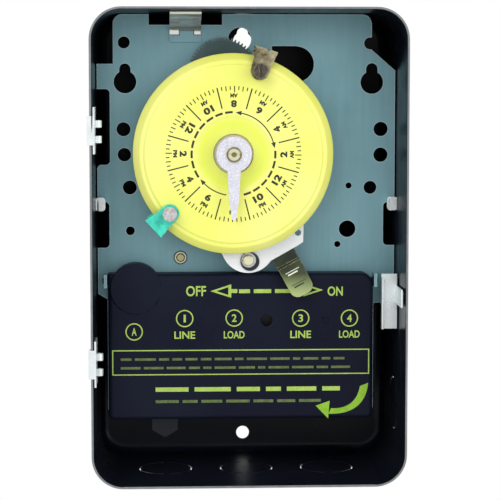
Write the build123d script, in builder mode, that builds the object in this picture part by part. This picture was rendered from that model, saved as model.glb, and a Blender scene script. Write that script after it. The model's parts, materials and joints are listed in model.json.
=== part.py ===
from build123d import *
import os
from math import atan2, cos, degrees, pi, radians, sin, tan

# Mechanical 24-hour time switch in an open drawn steel case.
# Millimetres. +X right, +Z up, the open front faces -Y.
# The origin is the middle of the case's flat outer back.
# A "depth" is a distance in front of that back, so depth d lies at y = -d.

# ---- clearances
touch = 0.03
running_fit = 0.06
spare = 0.3

# ---- case
case_width = 128.0
case_height = 194.0
case_depth = 68.0
case_sheet = 1.0
case_corner = 13.0
case_draft = 1.2
case_back_round = 4.5
hang_hole = 4.0
hang_slot = 2.4
hang_slot_rise = 3.4
hang_z = 84.8
foot_hole = 2.8
foot_hole_z = -86.4
knockout_radius = 11.1
knockout_gap = 0.5
knockout_bridge = 3.0
knockout_depth = 34.0
knockout_spread = 34.0
side_knockout_z = -68.0
back_knockout_z = -48.0
rest_heights = (69.0, 24.5, -7.5)
rest_length = 6.0
rest_reach = 4.5
lug_height = 5.8
lug_reach = 4.4
lug_z = 16.8
ground_screw_z = -58.0

# ---- fittings on the case
fitting_sheet = 0.8
latch_high = -11.8
latch_low = -34.7
latch_shelf = 47.6
latch_root = 38.7
latch_reach = 7.2
clip_left = -31.8
clip_right = -18.9
clip_sheet = 0.7
knuckle_radius = 1.5
knuckle_bore = 0.8
knuckle_length = 2.9
clip_root_z = 88.2
clip_depth = 56.0

# ---- mechanism plate
plate_front = 38.0
plate_sheet = 1.6
plate_half = 61.8
plate_top = 95.0
plate_low = -70.0
notch_round = 1.8
notch_corners = (
    (-56.5, 33.0),
    (-56.5, 64.3),
    (-61.8, 33.0),
    (-56.9, -1.5),
    (-56.9, 17.6),
    (57.1, -0.8),
    (57.1, 17.3),
)

# ---- dial and its drive
dial_x = -6.1
dial_z = 38.0
dial_radius = 40.9
dial_face = 56.6
dial_sheet = 1.0
dial_pull = 4.0
post_radius = 3.0
post_collar = 5.0
post_shoulder = 46.3
bush_wall = 2.0
hub_radius = 8.0
wheel_x = -9.7
wheel_z = 70.9
gear_module = 0.5
tooth_share = 0.40
tooth_add = 0.9
tooth_dedendum = 1.25
dial_teeth = 114
pinion_teeth = 19
wheel_teeth = 56
motor_teeth = 14
gear_depth = 49.3
gear_sheet = 1.6
wheel_depth = 39.5
wheel_sheet = 1.2
arbor_radius = 1.5
motor_side = -60.0
motor_shaft_radius = 1.2
gearbox_radius = 13.5
gearbox_deep = 12.4
motor_ear = 17.5
pointer_sheet = 0.8
pointer_reach = 26.8
pointer_hub = 7.15

# ---- trippers
tripper_sheet = 1.0
screw_seat = 35.3
thumb_radius = 2.95
on_angle = 222.8
off_angle = 72.4

# ---- lever and switch
pivot_x = 8.3
pivot_z = 8.5
lever_angle = 28.0
lever_throw = 20.0
lever_sheet = 1.2
lever_depth = 45.6
lever_front = 52.4
lever_reach = 31.9
lever_half = 5.2
lever_tip_half = 4.9
lever_bend = 17.9
shaft_radius = 2.2
lift = 1.6
cam_radius = 9.0
cam_depth = 33.0
cam_thick = 3.0
nose_radius = 0.8
nose_gap = 0.35
detent_sheet = 0.5
detent_z = 1.0
detent_rivet_x = -6.5
bridge_depth = 47.3
bridge_sheet = 1.0
bridge_screw_x = 0.2
bridge_screw_z = -5.9

# ---- terminal block and its cover
block_left = -52.0
block_right = 48.5
block_top = -19.0
block_low = -66.0
block_thick = 3.0
strip_sheet = 1.2
strip_width = 9.0
strip_top = -36.0
strip_low = -51.0
neck_half = 2.4
terminal_screw_z = -45.0
terminal_screw_radius = 1.65
line_places = (-26.0, 21.9)
load_places = (-5.6, 42.1)
clock_place = -44.8
blade_top = -24.4
blade_sheet = 0.5
blade_reach = 24.0
blade_root = 2.0
finger_reach = 12.2
finger_width = 2.4
finger_height = 2.5
cover_left = -57.5
cover_right = 52.0
cover_top = -11.5
cover_low = -72.0
cover_front = 49.0
cover_wall = 1.5
cover_back = 38.8
cover_round = 2.0
probe_x = 7.8
probe_z = -30.9
probe_radius = 2.4
cover_axis_z = -14.5
cover_axis_depth = 46.0
peg_radius = 1.2
bracket_sheet = 1.2
bracket_gap = 0.4
ear_x = -46.1
ear_z = -17.5
ear_radius = 10.4
ear_back = 40.6
ear_proud = 0.4
recess_x = 32.3
recess_z = -30.9
recess_half = 1.6

# ---- sizes worked out from the ones above
plate_back = plate_front - plate_sheet
mesh_distance = (dial_teeth + pinion_teeth) * gear_module / 2
train_side = degrees(atan2(wheel_z - dial_z, wheel_x - dial_x))
train_x = dial_x + mesh_distance * cos(radians(train_side))
train_z = dial_z + mesh_distance * sin(radians(train_side))
motor_mesh = (wheel_teeth + motor_teeth) * gear_module / 2
motor_x = train_x + motor_mesh * cos(radians(motor_side))
motor_z = train_z + motor_mesh * sin(radians(motor_side))
motor_screws_at = ((motor_x - motor_ear, motor_z), (motor_x + motor_ear, motor_z))
bush_radius = post_radius + running_fit + bush_wall
dial_back = dial_face - dial_sheet
pointer_depth = dial_face + dial_pull + spare
dial_seat = dial_back - 1.2
hub_back = post_shoulder + 0.7
bush_flange = dial_seat + 0.5
lift_rate = lift / radians(lever_throw)
block_front = plate_front + block_thick
strip_front = block_front + strip_sheet
blade_back = strip_front + 0.4
contact_depth = blade_back + 1.7
finger_low = blade_top + spare
finger_z = finger_low + finger_height / 2
finger_xs = tuple(place + blade_root - finger_reach for place in load_places)
terminal_xs = (clock_place, line_places[0], load_places[0], line_places[1], load_places[1])
rib_xs = tuple((a + b) / 2 for a, b in zip(terminal_xs, terminal_xs[1:]))
block_screws_at = ((rib_xs[0], -58.5), (rib_xs[3], -58.5))

standing = (Align.CENTER, Align.CENTER, Align.MIN)
os.makedirs("parts", exist_ok=True)


def front(depth):
    """Sketch plane facing the open front: its x is X and its y is Z."""
    return Plane.XZ.offset(depth)


def facing(x, z, depth, angle):
    """Front-facing plane at a point, turned so that its x points along angle."""
    way = (cos(radians(angle)), 0, sin(radians(angle)))
    return Plane(origin=(x, -depth, z), x_dir=way, z_dir=(0, -1, 0))


def save(builder, label):
    builder.part.label = label
    export_step(builder.part, f"parts/{label}.step")


def disc(x, z, radius, low, high, mode=Mode.ADD):
    """Round boss or bore facing the front, between two depths."""
    with Locations(front(low).location * Pos(x, z, 0)):
        Cylinder(radius, high - low, align=standing, mode=mode)


def block(left, right, bottom, top, low, high, mode=Mode.ADD):
    """Straight block between two X, two Z and two depths."""
    with Locations(front(low).location * Pos((left + right) / 2, (bottom + top) / 2, 0)):
        Box(right - left, top - bottom, high - low, align=standing, mode=mode)


def case_half(depth):
    """Half the case's width outside, where its drafted wall passes a depth."""
    return case_width / 2 - (case_depth - depth) * tan(radians(case_draft))


def case_inside(depth):
    return case_half(depth) - case_sheet


# ------------------------------------------------------------------ case
def knockout_slot():
    """Ring slot with two bridges that hold the slug."""
    Circle(knockout_radius)
    Circle(knockout_radius - knockout_gap, mode=Mode.SUBTRACT)
    Rectangle(knockout_bridge, 3 * knockout_radius, mode=Mode.SUBTRACT)


def drafted_tub(wall):
    """Drawn tub whose sides open out towards the rim, this far inside the outer skin."""
    length = case_depth - wall
    inset = wall + length * tan(radians(case_draft))
    with BuildPart() as tub:
        with BuildSketch(front(wall)):
            RectangleRounded(case_width - 2 * inset, case_height - 2 * inset, case_corner - inset)
        extrude(amount=length, taper=-case_draft)
        fillet(tub.faces().sort_by(Axis.Y)[-1].edges(), radius=case_back_round - wall)
    return tub.part


def make_case():
    through = 4 * case_sheet
    skin = drafted_tub(0)
    hollow = drafted_tub(case_sheet)
    with BuildPart() as case_shell:
        add(skin)
        add(hollow, mode=Mode.SUBTRACT)
        # keyhole and foot hole for the wall screws, and knockouts in the back
        with BuildSketch(front(-case_sheet)):
            with Locations((0, hang_z), (0, hang_z + hang_slot_rise)):
                Circle(hang_slot)
            with Locations((0, hang_z)):
                Circle(hang_hole)
            with Locations((0, hang_z + hang_slot_rise / 2)):
                Rectangle(2 * hang_slot, hang_slot_rise)
            with Locations((0, foot_hole_z)):
                Circle(foot_hole)
            for place in (-knockout_spread, knockout_spread):
                with Locations((place, back_knockout_z)):
                    add(knockout_sketch())
        extrude(amount=through, mode=Mode.SUBTRACT)
        # knockouts in the bottom and in both sides
        floor_z = -(case_half(knockout_depth) + (case_height - case_width) / 2)
        for place in (-knockout_spread, 0, knockout_spread):
            with BuildSketch(Plane(origin=(place, -knockout_depth, floor_z), z_dir=(0, 0, -1))):
                knockout_slot()
            extrude(amount=through, both=True, mode=Mode.SUBTRACT)
        for side in (-1, 1):
            wall_at = (side * case_half(knockout_depth), -knockout_depth, side_knockout_z)
            with BuildSketch(Plane(origin=wall_at, z_dir=(side, 0, 0))):
                knockout_slot()
            extrude(amount=through, both=True, mode=Mode.SUBTRACT)
        for side in (-1, 1):
            # lanced tabs that the plate rests on
            wall_x = side * (case_half(plate_back) - case_sheet / 2)
            tab_x = side * (case_inside(plate_back) - rest_reach)
            for height in rest_heights:
                block(
                    min(wall_x, tab_x),
                    max(wall_x, tab_x),
                    height - rest_length / 2,
                    height + rest_length / 2,
                    plate_back - 2,
                    plate_back,
                )
            # half-round lug that keeps the plate from coming forward
            with BuildSketch(front(plate_front + spare)):
                with Locations((side * (case_half(plate_front) - case_sheet / 2 - lug_reach / 2), lug_z)):
                    RectangleRounded(lug_reach, lug_height, 1.5)
            extrude(amount=3.2)
    save(case_shell, "case_shell")


def knockout_sketch():
    with BuildSketch(mode=Mode.PRIVATE) as slot:
        knockout_slot()
    return slot.sketch


def make_hinge_clips():
    """Zinc clips hooked over the left rim, which the door's hinge wire drops into."""
    outside = -case_half(case_depth)
    inside = -case_inside(case_depth - 14)
    top = case_depth + 0.1
    for label, high, low in (("hinge_clip_upper", 57.2, 38.4), ("hinge_clip_lower", -36.7, -55.4)):
        middle = (high + low) / 2
        hook = (high - low) * 0.31
        with BuildPart() as clip:
            block(inside + 0.1, inside + 0.1 + fitting_sheet, low, high, case_depth - 14, top)
            block(
                outside - 0.9,
                inside + 0.1 + fitting_sheet,
                middle - hook,
                middle + hook,
                top,
                top + fitting_sheet,
            )
            block(outside - 0.9, outside - 0.1, middle - hook, middle + hook, case_depth - 5, top)
            for height in (high - 5.3, high - 11.5):
                knuckle_x = inside + fitting_sheet + knuckle_radius - 0.2
                knuckle = Plane(origin=(knuckle_x, -case_depth + 4.2, height), z_dir=(0, 0, -1))
                with BuildSketch(knuckle):
                    Circle(knuckle_radius)
                extrude(amount=knuckle_length)
                with BuildSketch(knuckle):
                    Circle(knuckle_bore)
                extrude(amount=knuckle_length, mode=Mode.SUBTRACT)
        save(clip, label)


def make_door_latch():
    """Spring catch on the right wall: a riveted base and the strip that springs on it."""
    leaf_x = case_inside(latch_root) - 0.4
    shelf_x = case_inside(latch_shelf) - latch_reach
    rivet_z = ((latch_high + latch_low) / 2 - 5, (latch_high + latch_low) / 2 + 5)
    rivet_depth = latch_root - 8
    with BuildPart() as door_latch:
        block(leaf_x - fitting_sheet, leaf_x, latch_low + 3, latch_high - 2, latch_root, latch_shelf)
        block(shelf_x, leaf_x, latch_low, latch_high, latch_shelf, latch_shelf + fitting_sheet)
        block(
            shelf_x,
            shelf_x + fitting_sheet,
            latch_low,
            latch_high - 1.6,
            latch_shelf + fitting_sheet,
            latch_shelf + 3.0,
        )
        # tongue that reaches the rim, with its nose for the door
        block(
            leaf_x - fitting_sheet,
            leaf_x,
            -24.0,
            -16.6,
            latch_shelf + fitting_sheet,
            case_depth - 1.6,
        )
        with BuildSketch(Plane.XY.offset(-23.0)):
            with BuildLine():
                Polyline(
                    (leaf_x, -case_depth + 5.2),
                    (leaf_x + 0.7, -case_depth + 3.4),
                    (leaf_x, -case_depth + 1.6),
                    close=True,
                )
            make_face()
        extrude(amount=5.4)
    save(door_latch, "door_latch")
    base_x = case_inside(latch_root - 12)
    with BuildPart() as latch_base:
        block(
            base_x - fitting_sheet,
            base_x,
            latch_low + 3,
            latch_high - 2,
            latch_root - 12,
            latch_root - spare,
        )
        for height in rivet_z:
            with BuildSketch(Plane(origin=(base_x, -rivet_depth, height), z_dir=(1, 0, 0))):
                Circle(1.5 + touch)
            extrude(amount=2, both=True, mode=Mode.SUBTRACT)
    save(latch_base, "latch_base")
    with BuildPart() as latch_rivets:
        for height in rivet_z:
            with BuildSketch(Plane(origin=(base_x - fitting_sheet, -rivet_depth, height), z_dir=(-1, 0, 0))):
                Circle(2.6)
            extrude(amount=0.9)
            with BuildSketch(Plane(origin=(base_x - fitting_sheet, -rivet_depth, height), z_dir=(1, 0, 0))):
                Circle(1.5)
            extrude(amount=fitting_sheet)
    save(latch_rivets, "latch_rivets")


def make_ground_screw():
    """Green earthing screw in the case back."""
    with BuildPart() as ground_screw:
        disc(0, ground_screw_z, 3.9, case_sheet, case_sheet + 2.6)
        block(
            -5,
            5,
            ground_screw_z - 0.6,
            ground_screw_z + 0.6,
            case_sheet + 1.4,
            case_sheet + 3,
            Mode.SUBTRACT,
        )
    save(ground_screw, "ground_screw")


def make_release_clip():
    """Bowed spring strip from the plate's top edge to the case's top wall."""
    top_z = case_inside(clip_depth) + (case_height - case_width) / 2 - spare
    back = plate_front + spare
    rise = top_z - clip_root_z
    outer = (
        (-back, clip_root_z - 1.6),
        (-back - 0.9, clip_root_z + 0.18 * rise),
        (-back - 7.5, clip_root_z + 0.62 * rise),
        (-clip_depth, top_z),
    )
    inner = (
        (-clip_depth, top_z - clip_sheet),
        (-back - 7.7, clip_root_z + 0.62 * rise - clip_sheet),
        (-back - 1.7, clip_root_z + 0.12 * rise),
        (-back - 0.8, clip_root_z - 1.6),
    )
    middle = (clip_left + clip_right) / 2 + 0.6
    with BuildPart() as release_clip:
        with BuildSketch(Plane.YZ.offset(clip_left)):
            with BuildLine():
                Spline(*outer)
                Line(outer[-1], inner[0])
                Spline(*inner)
                Line(inner[-1], outer[0])
            make_face()
        extrude(amount=clip_right - clip_left)
        block(
            middle - 3.1,
            middle + 3.1,
            clip_root_z - 3,
            clip_root_z + 0.3,
            plate_front,
            plate_front + 6,
            Mode.SUBTRACT,
        )
    save(release_clip, "release_clip")
    with BuildPart() as clip_anchor:
        block(clip_left, clip_right, clip_root_z - 4.6, clip_root_z - 1.9, plate_front, plate_front + 1.0)
        block(
            middle - 2.7,
            middle + 2.7,
            clip_root_z - 1.9,
            clip_root_z - 0.2,
            plate_front,
            plate_front + 1.0,
        )
    save(clip_anchor, "clip_anchor")


# ------------------------------------------------------- mechanism plate
def keyhole(x, z, big, half, top):
    """Round hole with a slot that rises from it."""
    with Locations((x, z)):
        Circle(big)
    with Locations((x, (z + top - half) / 2)):
        Rectangle(2 * half, top - half - z)
    with Locations((x, top - half)):
        Circle(half)


def corner(builder, x, z):
    """The builder's edge along Y that lies nearest to a place."""
    return builder.edges().filter_by(Axis.Y).sort_by_distance((x, -plate_front, z))[0]


def plate_outline():
    # bites out of the sides: which side, the edge left there, bottom and top
    bites = (
        (-1, 55.1, 74.6, plate_top),
        (-1, 56.5, 33.0, 64.3),
        (-1, 56.9, -1.5, 17.6),
        (-1, 57.9, plate_low, -23.0),
        (1, 52.0, 80.4, plate_top),
        (1, 57.1, -0.8, 17.3),
        (1, 57.0, -25.0, -12.9),
        (1, 53.2, plate_low, -25.0),
    )
    with Locations((0, (plate_top + plate_low) / 2)):
        Rectangle(2 * plate_half, plate_top - plate_low)
    for side, edge, low, high in bites:
        with Locations((side * (edge + plate_half) / 2, (low + high) / 2)):
            Rectangle(plate_half - edge, high - low, mode=Mode.SUBTRACT)
    # notch in the top edge around the release clip
    with Locations((-25.2, plate_top)):
        Rectangle(30.3, 8.8, mode=Mode.SUBTRACT)
    # sloping shoulders at the upper right and the lower left
    Polygon((52.0, 80.4), (plate_half, 80.4), (plate_half, 71.9), align=None, mode=Mode.SUBTRACT)
    Polygon((-plate_half, -23.0), (-57.9, -23.0), (-plate_half, -20.7), align=None, mode=Mode.SUBTRACT)
    # pointed foot that finds its place over the case's floor
    Polygon((-39.6, -69.5), (-39.6, -78.2), (-34.2, -81.4), (-28.9, -78.2), (-28.9, -69.5), align=None)


def plate_windows():
    # plain round holes: X, Z and radius
    holes = (
        (-50.6, 83.4, 2.5),
        (-50.9, 47.7, 2.9),
        (-50.6, 37.2, 2.8),
        (-48.4, 23.6, 2.9),
        (-48.3, 5.6, 1.85),
        (-2.8, 84.8, 4.8),
        (51.3, 83.1, 2.5),
        (55.9, 47.7, 3.0),
        (55.9, 37.0, 3.0),
        (42.6, 24.2, 1.3),
        (51.6, 23.4, 2.7),
        (42.1, 6.1, 3.5),
        (38.0, -0.3, 1.35),
        (dial_x, dial_z, post_radius + touch),
        (train_x, train_z, arbor_radius + touch),
        (motor_x, motor_z, motor_teeth * gear_module / 2 + 1.0),
        (pivot_x, pivot_z, shaft_radius + running_fit),
    )
    for x, z, radius in holes:
        with Locations((x, z)):
            Circle(radius)
    keyhole(-50.2, 67.2, 4.7, 2.35, 74.8)
    keyhole(52.1, 67.0, 4.75, 2.45, 75.0)
    # window with a straight left side and a round right side
    with Locations((15.7, 74.5)):
        Rectangle(10.4, 15.0)
    with Locations((20.6, 74.5)):
        Circle(7.4)
    with Locations(*motor_screws_at, *block_screws_at):
        Circle(1.55 + running_fit)
    slot_top = finger_low + finger_height + spare
    slot_low = finger_low - lift - spare
    with Locations(*[(place, (slot_top + slot_low) / 2) for place in finger_xs]):
        Rectangle(finger_width + 2 * spare, slot_top - slot_low)


def make_mounting_plate():
    bracket_high = cover_axis_depth + 2.6
    with BuildPart() as mounting_plate:
        with BuildSketch(front(plate_back)):
            plate_outline()
            plate_windows_cut()
        extrude(amount=plate_sheet)
        fillet([corner(mounting_plate, -55.1, plate_top), corner(mounting_plate, 52.0, plate_top)], radius=4)
        fillet([corner(mounting_plate, x, z) for x, z in notch_corners], radius=notch_round)
        # brackets that carry the pegs of the terminal cover
        for x in (cover_left - bracket_gap - bracket_sheet, cover_right + bracket_gap):
            with BuildSketch(Plane.YZ.offset(x)):
                with Locations((-(plate_front + bracket_high) / 2, cover_axis_z)):
                    Rectangle(bracket_high - plate_front, 5.4)
                with Locations((-cover_axis_depth, cover_axis_z)):
                    Circle(peg_radius + running_fit, mode=Mode.SUBTRACT)
            extrude(amount=bracket_sheet)
    save(mounting_plate, "mounting_plate")


def plate_windows_cut():
    with BuildSketch(mode=Mode.PRIVATE) as windows:
        plate_windows()
    add(windows.sketch, mode=Mode.SUBTRACT)


def make_plate_rivets():
    """Eyelet in the open plate and the rivet that holds the detent spring."""
    with BuildPart() as plate_rivets:
        disc(-27.5, -5.6, 2.8, plate_front, plate_front + 0.6)
        disc(-27.5, -5.6, 1.5, plate_front + 0.6, plate_front + 1.2)
        disc(detent_rivet_x, detent_z, 1.9, plate_front + detent_sheet, plate_front + detent_sheet + 0.9)
    save(plate_rivets, "plate_rivets")


# ------------------------------------------------------- dial and pointer
def make_centre_post():
    with BuildPart() as centre_post:
        disc(dial_x, dial_z, 4.2, plate_back - 1.2, plate_back)
        disc(dial_x, dial_z, post_radius, plate_back, pointer_depth)
        disc(dial_x, dial_z, post_collar, plate_front, post_shoulder)
        disc(dial_x, dial_z, 1.9, pointer_depth, pointer_depth + pointer_sheet)
        disc(dial_x, dial_z, 1.2 + touch, pointer_depth - 6, pointer_depth + 2, Mode.SUBTRACT)
    save(centre_post, "centre_post")


def make_dial_bush():
    """Plain bush that slides on the post and carries the turning hub."""
    with BuildPart() as dial_bush:
        disc(dial_x, dial_z, bush_radius, post_shoulder + spare, bush_flange)
        disc(dial_x, dial_z, bush_radius + 1.5, bush_flange, bush_flange + 0.8)
        disc(dial_x, dial_z, post_radius + running_fit, post_shoulder, bush_flange + 1, Mode.SUBTRACT)
    save(dial_bush, "dial_bush")


def make_dial_hub():
    with BuildPart() as dial_hub:
        disc(dial_x, dial_z, hub_radius, hub_back, dial_seat + 0.2)
        disc(dial_x, dial_z, hub_radius + 5, dial_seat - 1.0, dial_seat)
        disc(dial_x, dial_z, bush_radius + running_fit, hub_back, dial_seat + 1, Mode.SUBTRACT)
    save(dial_hub, "dial_hub")


def make_dial_spring():
    """Conical spring between the bush and the pointer, which draws the dial home."""
    wire = 0.25
    low = bush_flange + 0.8 + wire + 0.05
    high = pointer_depth - wire - 0.05
    with BuildPart() as dial_spring:
        with BuildLine() as path:
            Helix(
                pitch=(high - low) / 2,
                height=high - low,
                radius=5.6,
                center=(dial_x, -low, dial_z),
                direction=(0, -1, 0),
                cone_angle=-12,
            )
        with BuildSketch(Plane(origin=path.line @ 0, z_dir=path.line % 0)):
            Circle(wire)
        sweep()
    save(dial_spring, "dial_spring")


def make_dial():
    """Spun dial: a dished middle, a shallow cone, a step and a bevelled rim."""
    rim_depth = dial_face - 3.0
    outline = (
        (hub_radius + touch, dial_seat + dial_sheet),
        (14.5, dial_seat + dial_sheet),
        (16.0, dial_face - 0.7),
        (36.0, dial_face),
        (36.6, dial_face - 0.5),
        (38.0, dial_face - 0.6),
        (dial_radius, rim_depth),
    )
    behind = tuple((radius, depth - dial_sheet) for radius, depth in reversed(outline))
    with BuildPart() as dial:
        with BuildSketch(Plane(origin=(dial_x, 0, dial_z), x_dir=(1, 0, 0), z_dir=(0, 0, 1))):
            with BuildLine():
                Polyline(*[(radius, -depth) for radius, depth in outline + behind], close=True)
            make_face()
        revolve(axis=Axis((dial_x, 0, dial_z), (0, 1, 0)))
    save(dial, "dial")


def tooth_ring(teeth, tip_tooth_angle, flank):
    """Gear outline with straight flanks; one tooth points along the given angle."""
    pitch_radius = teeth * gear_module / 2
    tip = pitch_radius + tooth_add * gear_module
    root = pitch_radius - tooth_dedendum * gear_module
    half = tooth_share * pi * gear_module / 2
    slope = tan(radians(flank))
    tip_half = (half - tooth_add * gear_module * slope) / tip
    root_half = (half + tooth_dedendum * gear_module * slope) / root
    points = []
    for tooth in range(teeth):
        middle = radians(tip_tooth_angle) + 2 * pi * tooth / teeth
        for radius, turn in ((root, -root_half), (tip, -tip_half), (tip, tip_half), (root, root_half)):
            points.append((radius * cos(middle + turn), radius * sin(middle + turn)))
    Polygon(*points, align=None)


def make_dial_gear():
    with BuildPart() as dial_gear:
        with BuildSketch(facing(dial_x, dial_z, gear_depth, train_side)):
            tooth_ring(dial_teeth, 0, 16)
            Circle(hub_radius + touch, mode=Mode.SUBTRACT)
            with PolarLocations(18, 6):
                Circle(4.2, mode=Mode.SUBTRACT)
        extrude(amount=gear_sheet)
    save(dial_gear, "dial_gear")


def make_time_wheel():
    with BuildPart() as time_wheel:
        with BuildSketch(facing(train_x, train_z, wheel_depth, motor_side)):
            tooth_ring(wheel_teeth, 0, 16)
            Circle(arbor_radius + running_fit, mode=Mode.SUBTRACT)
        extrude(amount=wheel_sheet)
    save(time_wheel, "time_wheel")
    with BuildPart() as wheel_pinion:
        disc(train_x, train_z, 3.2, wheel_depth + wheel_sheet, gear_depth - 1.5)
        with BuildSketch(facing(train_x, train_z, gear_depth - 1.5, train_side + 180)):
            tooth_ring(pinion_teeth, 180 / pinion_teeth, 8)
        extrude(amount=3.5)
        disc(train_x, train_z, arbor_radius + running_fit, wheel_depth, gear_depth + 4, Mode.SUBTRACT)
    save(wheel_pinion, "wheel_pinion")
    with BuildPart() as wheel_arbor:
        disc(train_x, train_z, 3.0, plate_back - 1.0, plate_back)
        disc(train_x, train_z, arbor_radius, plate_back, gear_depth + 3.0)
        disc(train_x, train_z, 2.6, plate_front, wheel_depth - spare)
    save(wheel_arbor, "wheel_arbor")
    with BuildPart() as arbor_clip:
        with BuildSketch(front(gear_depth + 2.2)):
            with Locations((train_x, train_z)):
                Circle(2.9)
                Circle(arbor_radius + touch, mode=Mode.SUBTRACT)
            with Locations((train_x, train_z + 2.5)):
                Rectangle(1.8, 4, mode=Mode.SUBTRACT)
        extrude(amount=0.5)
    save(arbor_clip, "arbor_clip")


def make_motor():
    """Synchronous motor behind the plate: gearbox, laminated frame, rotor can and coil."""
    back = plate_back - gearbox_deep
    frame_low = motor_z - 44
    with BuildPart() as motor_pinion:
        with BuildSketch(facing(motor_x, motor_z, wheel_depth - 0.3, motor_side + 180)):
            tooth_ring(motor_teeth, 180 / motor_teeth, 8)
        extrude(amount=wheel_sheet + 0.6)
        disc(motor_x, motor_z, motor_shaft_radius, back + 2, wheel_depth - 0.3)
    save(motor_pinion, "motor_pinion")
    with BuildPart() as motor_gearbox:
        disc(motor_x, motor_z, gearbox_radius, back, plate_back)
        block(
            motor_x - motor_ear - 4,
            motor_x + motor_ear + 4,
            motor_z - 4,
            motor_z + 4,
            plate_back - 1.5,
            plate_back,
        )
        for x, z in motor_screws_at:
            disc(x, z, 1.55 + touch, plate_back - 2, plate_back + 1, Mode.SUBTRACT)
        disc(motor_x, motor_z, motor_shaft_radius + running_fit, back + 1.9, plate_back + 1, Mode.SUBTRACT)
    save(motor_gearbox, "motor_gearbox")
    with BuildPart() as motor_can:
        disc(motor_x, motor_z, 14.5, back - 15, back)
    save(motor_can, "motor_can")
    with BuildPart() as motor_stator:
        block(motor_x - 20, motor_x + 20, frame_low, motor_z + 17, back - 12, back - 4)
        disc(motor_x, motor_z, 14.5 + touch, back - 13, back, Mode.SUBTRACT)
        block(motor_x - 12, motor_x + 12, frame_low + 8, motor_z - 19, back - 13, back, Mode.SUBTRACT)
    save(motor_stator, "motor_stator")
    with BuildPart() as motor_coil:
        block(motor_x - 11.5, motor_x + 11.5, frame_low - 5, frame_low + 13, back - 17, back + 1)
        block(
            motor_x - 12,
            motor_x + 12,
            frame_low - touch,
            frame_low + 8 + touch,
            back - 12 - touch,
            back - 4 + touch,
            Mode.SUBTRACT,
        )
        fillet(motor_coil.edges().filter_by(Axis.X).group_by(Axis.Z)[0], radius=3)
        fillet(motor_coil.edges().filter_by(Axis.X).group_by(Axis.Z)[-1], radius=2)
    save(motor_coil, "motor_coil")
    with BuildPart() as motor_screws:
        for x, z in motor_screws_at:
            disc(x, z, 1.55, plate_back - 4, plate_front)
            disc(x, z, 2.6, plate_front, plate_front + 1.2)
    save(motor_screws, "motor_screws")


def make_pointer():
    with BuildPart() as pointer:
        with BuildSketch(front(pointer_depth)):
            with Locations((dial_x, dial_z)):
                Circle(pointer_hub)
            with BuildLine():
                Polyline(
                    (dial_x - 2.8, dial_z),
                    (dial_x - 2.15, dial_z - pointer_reach),
                    (dial_x + 2.15, dial_z - pointer_reach),
                    (dial_x + 2.8, dial_z),
                    close=True,
                )
            make_face()
            with Locations((dial_x, dial_z)):
                Circle(1.9 + touch, mode=Mode.SUBTRACT)
        extrude(amount=pointer_sheet)
    save(pointer, "pointer")
    top = pointer_depth + pointer_sheet
    with BuildPart() as pointer_screw:
        disc(dial_x, dial_z, 1.2, pointer_depth - 5, top)
        disc(dial_x, dial_z, 3.1, top, top + 1.2)
        fillet(pointer_screw.faces().sort_by(Axis.Y)[0].edges(), radius=0.6)
        block(dial_x - 4, dial_x + 4, dial_z - 0.4, dial_z + 0.4, top + 0.6, top + 2, Mode.SUBTRACT)
    save(pointer_screw, "pointer_screw")


# ---------------------------------------------------------------- trippers
def make_tripper(label, angle):
    """U-shaped clip over the dial's rim, pinched to it by a knurled screw."""
    jaw = dial_face + spare
    lip = dial_face - 3.0 - dial_sheet - 0.4 - tripper_sheet
    outer = dial_radius + 3.7
    web = outer - tripper_sheet
    with BuildPart() as tripper:
        with BuildSketch(facing(dial_x, dial_z, jaw, angle)):
            with Locations((screw_seat, 0)):
                Circle(3.8)
            with BuildLine():
                Polyline(
                    (screw_seat, 3.8),
                    (screw_seat + 4.5, 4.0),
                    (outer, 4.8),
                    (outer, -4.8),
                    (screw_seat + 4.5, -4.0),
                    (screw_seat, -3.8),
                    close=True,
                )
            make_face()
            with Locations((screw_seat, 0)):
                Circle(1.4 + running_fit, mode=Mode.SUBTRACT)
        extrude(amount=tripper_sheet)
        with BuildSketch(facing(dial_x, dial_z, lip, angle)):
            with Locations(((outer + web) / 2, 3.2), ((outer + web) / 2, -3.2)):
                Rectangle(tripper_sheet, 3.2)
        extrude(amount=jaw - lip)
        with BuildSketch(facing(dial_x, dial_z, lip, angle)):
            with Locations(((outer + dial_radius - 1.7) / 2, 0)):
                Rectangle(outer - dial_radius + 1.7, 9.6)
        extrude(amount=tripper_sheet)
    save(tripper, label)
    seat_x = dial_x + screw_seat * cos(radians(angle))
    seat_z = dial_z + screw_seat * sin(radians(angle))
    head = jaw + tripper_sheet + 0.2
    with BuildPart() as thumb:
        disc(seat_x, seat_z, 1.4, jaw - 0.15, head)
        disc(seat_x, seat_z, thumb_radius - 0.5, head, head + 0.8)
        with BuildSketch(facing(seat_x, seat_z, head + 0.8, angle)):
            Circle(thumb_radius)
            with PolarLocations(thumb_radius, 24):
                Rectangle(0.36, 0.4, mode=Mode.SUBTRACT)
        extrude(amount=4.0)
        with BuildSketch(facing(seat_x, seat_z, head + 3.6, angle + 25)):
            Rectangle(8, 0.9)
        extrude(amount=2, mode=Mode.SUBTRACT)
    save(thumb, f"{label}_screw")


# --------------------------------------------------------- lever and switch
def lever_plane(depth):
    return facing(pivot_x, pivot_z, depth, lever_angle - 90)


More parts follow.
